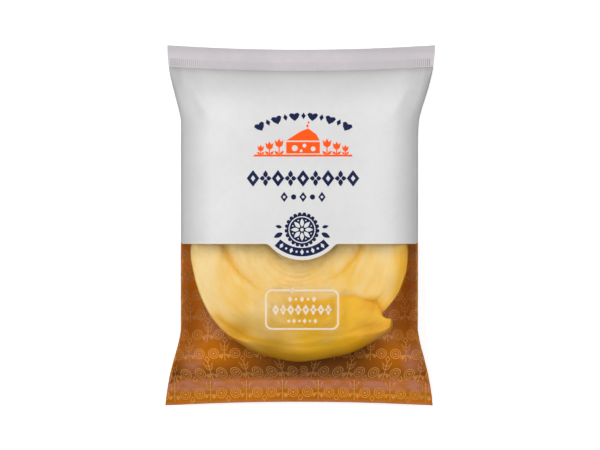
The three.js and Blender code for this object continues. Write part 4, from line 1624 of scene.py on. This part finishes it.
    def valleys(self, x: Array, y: Array) -> tuple[Array, Array, Array, Array]:
        """All valleys in the plan: depth, dark line, which is partly painted shade, gold beside it, and which places
        lie on the loose turn.
        """
        main = Fold(self.main_fold, 0.85, 0.5, widest=1.4)
        drop, fold, beside = main.drop(x, y)
        for valley in self.folds():
            down, line, glow = valley.drop(x, y)
            drop, fold, beside = drop + down, np.maximum(fold, line), np.maximum(beside, glow)
        away, _, along = main.nearest(x, y)
        return drop, fold, beside, smooth((-away + 1.0) / 2.0) * (along < self.loose_share)

    def fit(self, tube: FilmTube, x: Array, y: Array, z: Array) -> Array:
        """Heights kept below the film's front and above its back."""
        roof = np.maximum(tube.form.ceiling(x, y) - self.film_gap, self.middle)
        z = np.where(z > self.middle, soft_min(z, roof, self.film_blend), z)
        ground = np.minimum(tube.form.floor(x, y) + self.floor_gap, self.middle)
        return np.where(z < self.middle, -soft_min(-z, -ground, self.floor_blend), z)

    def build(self, tube: FilmTube) -> Object:
        """Makes the coil as one closed body with its tone, painted shade and fibre attributes.

        Args:
            tube: The film that it lies in.

        Returns:
            The object.
        """
        degrees = self.angles()
        turns = np.radians(degrees)
        r, z = self.rings(degrees)
        x, y = self.centre[0] + r * np.cos(turns), self.centre[1] + r * np.sin(turns)
        upper = smooth((z - self.middle - 1.0) / ((self.top - self.middle) * self.upper_share))
        y = y + self.tip_rise * spot(x, y, self.tip, self.tip_reach)
        drop, fold, beside, loose = self.valleys(x, y)
        radius = self.around(degrees, self.outline)
        sweep = np.degrees(np.arctan2(y - self.centre[1], x - self.centre[0])) % 360
        swept = smooth((sweep - self.gold_from) / self.gold_over)
        gold = np.maximum(self.least_gold, loose * swept) + self.fold_gold * beside
        # Deeper amber towards the rim: partly the curd's colour, partly painted shade where the rim turns away from the
        # light.
        amber = smooth(1 - (radius - r) / self.around(degrees, self.rim)) * (z > self.middle - 6)
        # Painted shade: the light field's shadow below its edge, then each patch's shade; shade below 0 is painted
        # light.
        shade = read(self.print_shade, tube.edge.at(x) - y) * (y < tube.edge.at(x))
        for row in self.patches:
            near = spot(x, y, row[:2], row[2:4])
            gold, amber, shade = (old + near * more for old, more in zip((gold, amber, shade), row[4:]))
        lift = smooth((r / radius - 0.2) / 0.5)
        home = [lerp(self.disc_centre[k], self.centre[k], lift) for k in (0, 1)]
        lane, along = np.hypot(x - home[0], y - home[1]), np.arctan2(y - home[1], x - home[0])
        rise = layered(x, y, self.swells) + layered(lane, along, self.ripples)
        z = self.fit(tube, x, y, z - drop * upper + rise * upper)
        side, around = (1 - upper) * (z > self.bottom + 0.4), turns[None, :] + 0 * z
        push = side * layered(z, around, self.bulges)
        x, y = x + push * np.cos(turns), y + push * np.sin(turns)
        poles = [[*self.centre, z[0].mean()], [*self.centre, z[-1].mean()]]
        rows, count = x.shape
        faces = grid_faces(rows, count, True)
        for i in range(count):
            n = (i + 1) % count
            faces += [[rows * count, n, i], [rows * count + 1, (rows - 1) * count + i, (rows - 1) * count + n]]
        ends = np.zeros((2, 3))
        points, fibre, tone = (np.vstack([np.stack(grids, -1).reshape(-1, 3), last]) for grids, last in (
            ((x, y, z), poles),
            ((lane, self.fibre_pitch * np.cos(along), self.fibre_pitch * np.sin(along)), ends),
            ((gold, amber, fold * upper), ends),
        ))
        # Painted shade, kept on the top.
        painted_dark = np.concatenate([(shade * (z > self.middle)).ravel(), ends[:, 0]])
        made = mesh_object("cheese_coil", points, faces, {FIBRE: fibre, CURD_TONE_AND_SHADE: tone, PAINTED_SHADE: painted_dark})
        made.data.set_sharp_from_angle(angle=math.radians(80))
        return made


@dataclass(frozen=True)
class PocketLight:
    """Painted light and shade in the pockets between the coil and the brown film: painted shade below the coil and over
    the weld, and painted light, as if come through the film, beside the coil. Pairs are angle round the coil or place,
    and value."""

    tube: FilmTube
    coil: CheeseCoil
    # depth and reach: painted shade below the coil; weld: painted shade over the weld; left_glow and right_glow:
    # painted light beside the coil.
    depth: Pairs = (
        (205, 0.1), (225, 0.3), (240, 0.42), (255, 0.55), (270, 0.62), (285, 0.68), (298, 0.78), (304, 0.75),
        (309, 0.42), (314, 0.22), (325, 0.1),
    )
    reach: Pairs = ((205, 4), (240, 7), (270, 6.5), (300, 8), (325, 8))
    weld: Pairs = (
        (0, 0), (0.9, 0.06), (1.5, 0.42), (2.6, 0.57), (4.2, 0.58), (5.5, 0.44), (7, 0.3), (9, 0.12), (12, 0),
    )
    right_weld: float = 0.8
    left_glow: Pairs = (
        (-60, 0), (-52, 0.15), (-46, 0.12), (-41.7, 0.24), (-37.3, 0.34), (-33, 0.5), (-28.5, 0.52), (-24, 0.7),
        (-20.5, 0.74), (-17.5, 0.83), (-14.4, 0.88), (-11.7, 0.78), (-9.5, 0.62), (-7.5, 0.5),
    )
    right_glow: Pairs = (
        (-50, 0), (-42, 0.03), (-37, 0.12), (-33, 0.19), (-28.5, 0.22), (-24, 0.37), (-20.5, 0.45), (-17.5, 0.5),
        (-14.4, 0.52), (-11.7, 0.42), (-9.5, 0.38),
    )
    glow_start: float = 40.0

    def shade(self) -> Array:
        """Painted shade of the film's inner face at each point of the tube's grid, below the coil and over the weld."""
        x, y = self.tube.outer[..., 0], self.tube.outer[..., 1]
        across, up = x - self.coil.centre[0], y - self.coil.centre[1]
        degrees = np.degrees(np.arctan2(up, across)) % 360
        away = np.maximum(0, np.hypot(across, up) - self.coil.around(degrees, self.coil.outline))
        below = read(self.depth, degrees, left=0, right=0)
        below = below * np.exp(-((away / read(self.reach, degrees)) ** 2))
        over = read(self.weld, self.tube.form.inside_seal(self.tube.v)) * (y < 0)
        over = over * np.where(x > 0, lerp(1.0, self.right_weld, smooth((x - 20) / 20)), 1.0)
        return 1 - (1 - below) * (1 - over)

    def glow(self) -> Array:
        """Painted light on the film's inner face at each point of the tube's grid, as if come through the film beside
        the coil.
        """
        x, y = self.tube.outer[..., 0], self.tube.outer[..., 1]
        left, right = (read(pairs, y) for pairs in (self.left_glow, self.right_glow))
        return np.where(x < 0, left, right) * smooth((np.abs(x) - self.glow_start) / 5)


# --- finishes ---


class FilmEffects:
    """Shader groups that several of the pack's finishes share.

    A noise is scale, detail and roughness. A painted glare is a place and its reach across and along, in metres.
    """

    NOISES = ((42.0, 2.0, 0.5), (330.0, 3.0, 0.6), (1400.0, 2.0, 0.6))
    STREAKS = (420.0, 3.0, 0.65)
    STRETCH = (0.5, 1.1, 0.3)
    PAINTED_GLARES = ((-0.0478, -0.0592, 0.0062, 0.0085), (0.0497, -0.0592, 0.007, 0.0085))

    def __init__(self) -> None:
        """Builds the groups."""
        self.relief = self.build_relief()
        self.painted_sheen = self.build_painted_sheen()

    @staticmethod
    def build_relief() -> bpy.types.NodeTree:
        """Soft film relief: tone, roughness and height from coordinates."""
        tree, _ = new_group(
            "film_relief", "ShaderNodeTree",
            {"Coordinates": "Vector", "Roughness": "Float", "Variation": "Float"},
            {"Tone": "Float", "Roughness": "Float", "Height": "Float"},
        )
        w = Wiring(tree)
        given, out = w.add("NodeGroupInput").outputs, w.add("NodeGroupOutput").inputs
        broad, fine, scuff = (w.noise(given["Coordinates"], *layer) for layer in FilmEffects.NOISES)
        swing = w.times(w.minus(fine, 0.5), given["Variation"])
        w.feed(out, {
            "Tone": w.plus(w.times(broad, 0.65), w.times(fine, 0.35)),
            "Roughness": w.plus(given["Roughness"], swing, clamp=True),
            "Height": w.plus(w.times(fine, 0.8), w.times(scuff, 0.12)),
        })
        return tree

    @staticmethod
    def build_painted_sheen() -> bpy.types.NodeTree:
        """Milky bands of the bottom weld, partly its own look and partly painted sheen, and painted glare in the
        corners above it.
        """
        sockets = {"Coordinates": "Vector", "Strength": "Float"}
        tree, _ = new_group("weld_haze_and_painted_sheen", "ShaderNodeTree", sockets, {"Mask": "Float"})
        w = Wiring(tree)
        given, out = w.add("NodeGroupInput").outputs, w.add("NodeGroupOutput").inputs

        def moved(vector: Any, by: tuple[float, float, float], operation: str) -> Socket:
            """A sum on a vector and a fixed one."""
            return w.out("ShaderNodeVectorMath", {0: vector, 1: by}, operation=operation)

        place = w.split(given["Coordinates"])
        bowed = w.minus(place[1], w.times(w.times(place[0], place[0]), -0.5))
        inner = w.times(w.remap(bowed, -0.0728, -0.0714), w.remap(bowed, -0.0668, -0.0673))
        bands = w.plus(inner, w.times(w.remap(bowed, -0.0762, -0.0772), 0.6), clamp=True)
        streaks = w.noise(moved(given["Coordinates"], FilmEffects.STRETCH, "MULTIPLY"), *FilmEffects.STREAKS)
        # Painted glare: soft pale spots in the two lower corners.
        for x, y, reach_x, reach_y in FilmEffects.PAINTED_GLARES:
            off = moved(given["Coordinates"], (x, y, 0.0), "SUBTRACT")
            near = moved(off, (1 / reach_x, 1 / reach_y, 0.0), "MULTIPLY")
            far = w.add("ShaderNodeVectorMath", {0: near}, operation="LENGTH").outputs["Value"]
            bands = w.plus(bands, w.remap(far, 1.0, 0.3), clamp=True)
        cloudy = w.times(bands, w.remap(streaks, 0.32, 0.68, 0.25, 1.0))
        w.feed(out, {"Mask": w.times(cloudy, given["Strength"], clamp=True)})
        return tree

    def add_relief(self, w: Wiring, place: Socket, roughness: float, variation: float,
                   bump: float) -> tuple[Socket, Socket, Socket]:
        """Adds the film's relief to a material.

        Args:
            w: The material's wiring.
            place: The coordinates.
            roughness: The film's middle roughness.
            variation: How far the roughness swings.
            bump: Strength of the relief.

        Returns:
            The tone, the roughness and the bumped normal.
        """
        given = {"Coordinates": place, "Roughness": roughness, "Variation": variation}
        tone, rough, height = w.add("ShaderNodeGroup", given, node_tree=self.relief).outputs
        return tone, rough, w.out("ShaderNodeBump", {"Strength": bump, "Distance": 0.001, "Height": height})


@dataclass(frozen=True)
class InkedFilm:
    """Satin film with ink on it, or the ink itself, darkened by painted shade; some also take painted sheen, glare and
    light.
    """

    name: str
    shade: Shade
    shade_dim: Shade | None = None
    roughness: float = 0.36
    variation: float = 0.12
    bump: float = 0.06
    gloss: float = 0.4
    painted_sheen: float = 0.0
    through: Shade | None = None

    def build(self, effects: FilmEffects) -> Material:
        """Builds the material."""
        material, w, shader = new_material(self.name)
        place = w.place()
        tone, rough, normal = effects.add_relief(w, place, self.roughness, self.variation, self.bump)
        colour = w.mix(w.remap(tone, 0.35, 0.65), self.shade.linear, (self.shade_dim or self.shade).linear)
        # Painted shade: the colour darkens towards DEEP_SHADE by the point attribute of painted shade.
        colour = w.mix(w.attribute(PAINTED_SHADE), colour, DEEP_SHADE)
        # Painted sheen and glare: the colour turns milky pink on the bottom weld's bands and in the corners above it.
        if self.painted_sheen:
            given = {"Coordinates": place, "Strength": self.painted_sheen}
            painted_sheen = w.out("ShaderNodeGroup", given, node_tree=effects.painted_sheen)
            colour = w.mix(painted_sheen, colour, Shade.WELD_HAZE_SHEEN.linear)
        # Painted light: where the point attribute of painted light is set, the film glows with this colour, though it
        # is no lamp.
        if self.through:
            light = w.mix(w.attribute(PAINTED_GLOW), BLACK, self.through.linear)
            w.feed(shader, {"Emission Color": light, "Emission Strength": 1.0})
        w.feed(shader, {"Base Color": colour, "Roughness": rough, "Normal": normal, "Specular IOR Level": self.gloss})
        return material


@dataclass(frozen=True)
class ClearFilm:
    """Clear film: it shows what is behind it and mirrors a little more towards its edges."""

    name: str = "clear_film"
    index: float = 1.5
    mirror: float = 0.12
    most: float = 0.03
    roughness: float = 0.25
    variation: float = 0.05
    bump: float = 0.05

    def build(self, effects: FilmEffects) -> Material:
        """Builds the material."""
        material, w, shader = new_material(self.name)
        place = w.place()
        _, rough, normal = effects.add_relief(w, place, self.roughness, self.variation, self.bump)
        fresnel = w.out("ShaderNodeFresnel", {"IOR": self.index, "Normal": normal})
        alpha = w.math("MINIMUM", w.times(fresnel, self.mirror), self.most)
        w.feed(shader, {"Alpha": alpha, "Roughness": rough, "Normal": normal, "Base Color": WHITE, "Metallic": 1.0})
        return material


@dataclass(frozen=True)
class SmokedCurd:
    """Smoked stretched curd: pale where it was covered, golden where smoke reached it, amber in the folds and at the
    rim, partly as painted shade, and darker where painted shade is set.

    A noise is scale, detail and roughness: broad over the piece, streaks and hairs along its fibres.
    """

    name: str = "smoked_curd"
    roughness: float = 0.36
    broad: tuple[float, ...] = (55.0, 3.0, 0.55)
    streak: tuple[float, ...] = (0.42, 4.0, 0.62)
    hair: tuple[float, ...] = (2.4, 4.0, 0.7)
    broad_gold: float = 0.75
    rim_amber_shade: float = 0.8
    fold_amber_shade: float = 0.6

    def build(self) -> Material:
        """Builds the material."""
        material, w, shader = new_material(self.name)
        place = w.place()
        fibre = w.attribute(FIBRE, "Vector")
        golden, ambered, folded = w.split(w.attribute(CURD_TONE_AND_SHADE, "Vector"))
        broad, streak, hair = w.noise(place, *self.broad), w.noise(fibre, *self.streak), w.noise(fibre, *self.hair)
        gold = w.plus(golden, w.times(w.minus(broad, 0.5), self.broad_gold))
        gold = w.plus(gold, w.times(w.minus(streak, 0.5), 1.0), clamp=True)
        colour = w.mix(gold, Shade.CURD_PALE.linear, Shade.CURD_GOLD.linear)
        # Amber at the rim and in the folds: partly the curd's colour, partly painted shade.
        deep = w.plus(w.times(ambered, self.rim_amber_shade), w.times(folded, self.fold_amber_shade), clamp=True)
        deep = w.plus(deep, w.remap(hair, 0.58, 0.78, 0.0, 0.2), clamp=True)
        colour = w.mix(deep, colour, Shade.CURD_AMBER.linear)
        height = w.plus(w.times(hair, 0.5), w.times(streak, 0.8))
        # The base colour is darkened by the coil's painted shade.
        w.feed(shader, {
            "Base Color": w.mix(w.attribute(PAINTED_SHADE), colour, BLACK),
            "Roughness": w.plus(w.times(w.minus(streak, 0.5), 0.25), self.roughness),
            "Normal": w.out("ShaderNodeBump", {"Strength": 0.22, "Distance": 0.0006, "Height": height}),
            "Specular IOR Level": 0.12,
            "Subsurface Weight": 0.35,
            "Subsurface Radius": (1.0, 0.55, 0.2),
            "Subsurface Scale": 0.0025,
        })
        return material


# --- studio ---


@dataclass(frozen=True)
class Softbox:
    """A rectangular soft light aimed at the pack."""

    name: str
    place: tuple[float, float, float]
    size: Point
    power: float

    def build(self) -> Object:
        """Makes the light."""
        data = bpy.data.lights.new(self.name, "AREA")
        data.shape = "RECTANGLE"
        data.size, data.size_y = self.size
        data.energy = self.power
        lamp = new_object(self.name, data)
        lamp.location = self.place
        lamp.rotation_euler = (0.0, math.atan2(self.place[0], self.place[2]), 0.0)
        lamp.visible_camera = False
        return lamp


@dataclass
class Studio:
    """Pale floor, soft lights, and a camera straight above the pack."""

    view_width: float = 0.264
    focus_height: float = 0.011
    lens: float = 180.0
    aim: Point = (-0.00013, 0.00013)
    floor_radius: float = 3.0
    floor_glow: float = 0.46
    sky: Point = (0.1, 0.28)
    seen_sky: float = 0.92
    lights: tuple[Softbox, ...] = (
        Softbox("left_strip", (-0.56, 0.48, 1.06), (0.55, 2.2), 13.5),
        Softbox("right_strip", (0.56, 0.48, 1.06), (0.55, 2.2), 10.1),
    )

    def build(self) -> None:
        """Makes the floor, the world, the lights and the camera."""
        self.floor()
        self.world()
        for light in self.lights:
            light.build()
        camera = new_object("camera", bpy.data.cameras.new("camera"))
        camera.data.lens = self.lens
        away = self.view_width * self.lens / camera.data.sensor_width
        camera.location = (*self.aim, self.focus_height + away)
        bpy.context.scene.camera = camera
        bpy.context.scene.view_settings.view_transform = "Standard"

    def floor(self) -> None:
        """Makes the round floor."""
        work = bmesh.new()
        bmesh.ops.create_circle(work, cap_ends=True, segments=96, radius=self.floor_radius)
        mesh = bpy.data.meshes.new("floor")
        work.to_mesh(mesh)
        work.free()
        made = new_object("floor", mesh)
        material, w, shader = new_material("floor_paint")
        grain = w.times(w.noise(w.place(), 6.0, 2.0), 0.02)
        seen = w.add("ShaderNodeLightPath").outputs["Is Camera Ray"]
        paper = w.mix(seen, Shade.FLOOR_BOUNCE.linear, Shade.FLOOR.linear)
        w.feed(shader, {
            "Base Color": w.mix(grain, paper, (0.8, 0.8, 0.8, 1)), "Emission Color": WHITE,
            "Emission Strength": w.times(seen, self.floor_glow), "Roughness": 0.9, "Specular IOR Level": 0.1,
        })
        mesh.materials.append(material)

    def world(self) -> None:
        """Makes a sky that is soft overhead and dim near the horizon, and pale where it is looked at."""
        world = bpy.data.worlds.new("studio")
        bpy.context.scene.world = world
        world.use_nodes = True
        w = Wiring(world.node_tree)
        height = w.split(w.add("ShaderNodeTexCoord").outputs["Generated"])[2]
        glow = w.remap(height, 0.0, 0.8, *self.sky)
        seen = w.add("ShaderNodeLightPath").outputs["Is Camera Ray"]
        strength = w.math("MAXIMUM", glow, w.times(seen, self.seen_sky))
        w.feed(w.tree.nodes["Background"].inputs, {"Strength": strength, "Color": WHITE})


# --- the whole ---


def main() -> None:
    """Builds the studio, the film, its artwork and the cheese."""
    logging.basicConfig(level=logging.INFO, format="%(name)s %(message)s")
    Studio().build()
    log.info("studio ready")

    effects = FilmEffects()
    light = InkedFilm("light_film", Shade.LIGHT_FIELD, Shade.LIGHT_FIELD_DIM).build(effects)
    weld_grey = InkedFilm("grey_weld", Shade.WELD_GREY, Shade.WELD_GREY_DIM).build(effects)
    # Brown film: painted sheen and glare at the bottom weld, and painted light on its inner face.
    brown = InkedFilm("brown_film", Shade.BROWN, Shade.BROWN_DEEP, gloss=0.03, painted_sheen=0.55,
                      through=Shade.BROWN_PAINTED_GLOW).build(effects)
    folk = InkedFilm("folk_ink", Shade.FOLK_LINE, gloss=0.03, through=Shade.FOLK_PAINTED_GLOW).build(effects)
    navy = InkedFilm("navy_ink", Shade.NAVY, gloss=0.12).build(effects)
    orange = InkedFilm("orange_ink", Shade.ORANGE, gloss=0.12).build(effects)
    white = InkedFilm("white_ink", Shade.LIGHT_FIELD, Shade.LIGHT_FIELD_DIM).build(effects)
    cream = InkedFilm("cream_ink", Shade.CREAM).build(effects)
    clear = ClearFilm().build(effects)
    curd = SmokedCurd().build()

    tube, coil = FilmTube(), CheeseCoil()
    pocket = PocketLight(tube, coil)
    dress(tube.light_film(), light)
    dress(tube.clear_window(), clear, Solid.FRONT)
    shade, glow = pocket.shade(), pocket.glow()
    dress(tube.brown_film(shade, glow), brown)
    dress(tube.fin("fin_seal_light", tube.edge.level, tube.form.seal_start - 1), light)
    dress(tube.fin("fin_seal_brown", 1 - tube.form.seal_start, tube.edge.level), brown)
    dress(EndSeal(tube.form, 1).build("top_seal"), weld_grey)
    dress(EndSeal(tube.form, -1).build("bottom_seal"), brown)

    reference = tube.reference(shade, glow)
    layer = InkLayer(reference)
    for name, sign, height, ink in (("top_seal_ribs", 1, 0.025, weld_grey), ("bottom_seal_ribs", -1, 0.06, brown)):
        dress(WeldRibs(layer, tube.form, height=height).build(name, sign, ink), ink)
    pattern = FolkPattern(layer, tube.film)
    dress(pattern.build("folk_print_outside", folk, inside=False), folk)
    dress(pattern.build("folk_print_inside", folk, inside=True), folk)
    artwork = FrontArtwork(layer)
    dress(artwork.navy(navy), navy)
    dress(artwork.orange(orange), orange)
    dress(artwork.white(white), white)
    dress(artwork.cream(cream, tube), cream, solid=Solid.FRONT)
    artwork.clear_marks()
    bpy.data.objects.remove(reference)

    dress(coil.build(tube), curd, Solid.COIL)

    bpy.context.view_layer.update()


if __name__ == "__main__":
    main()
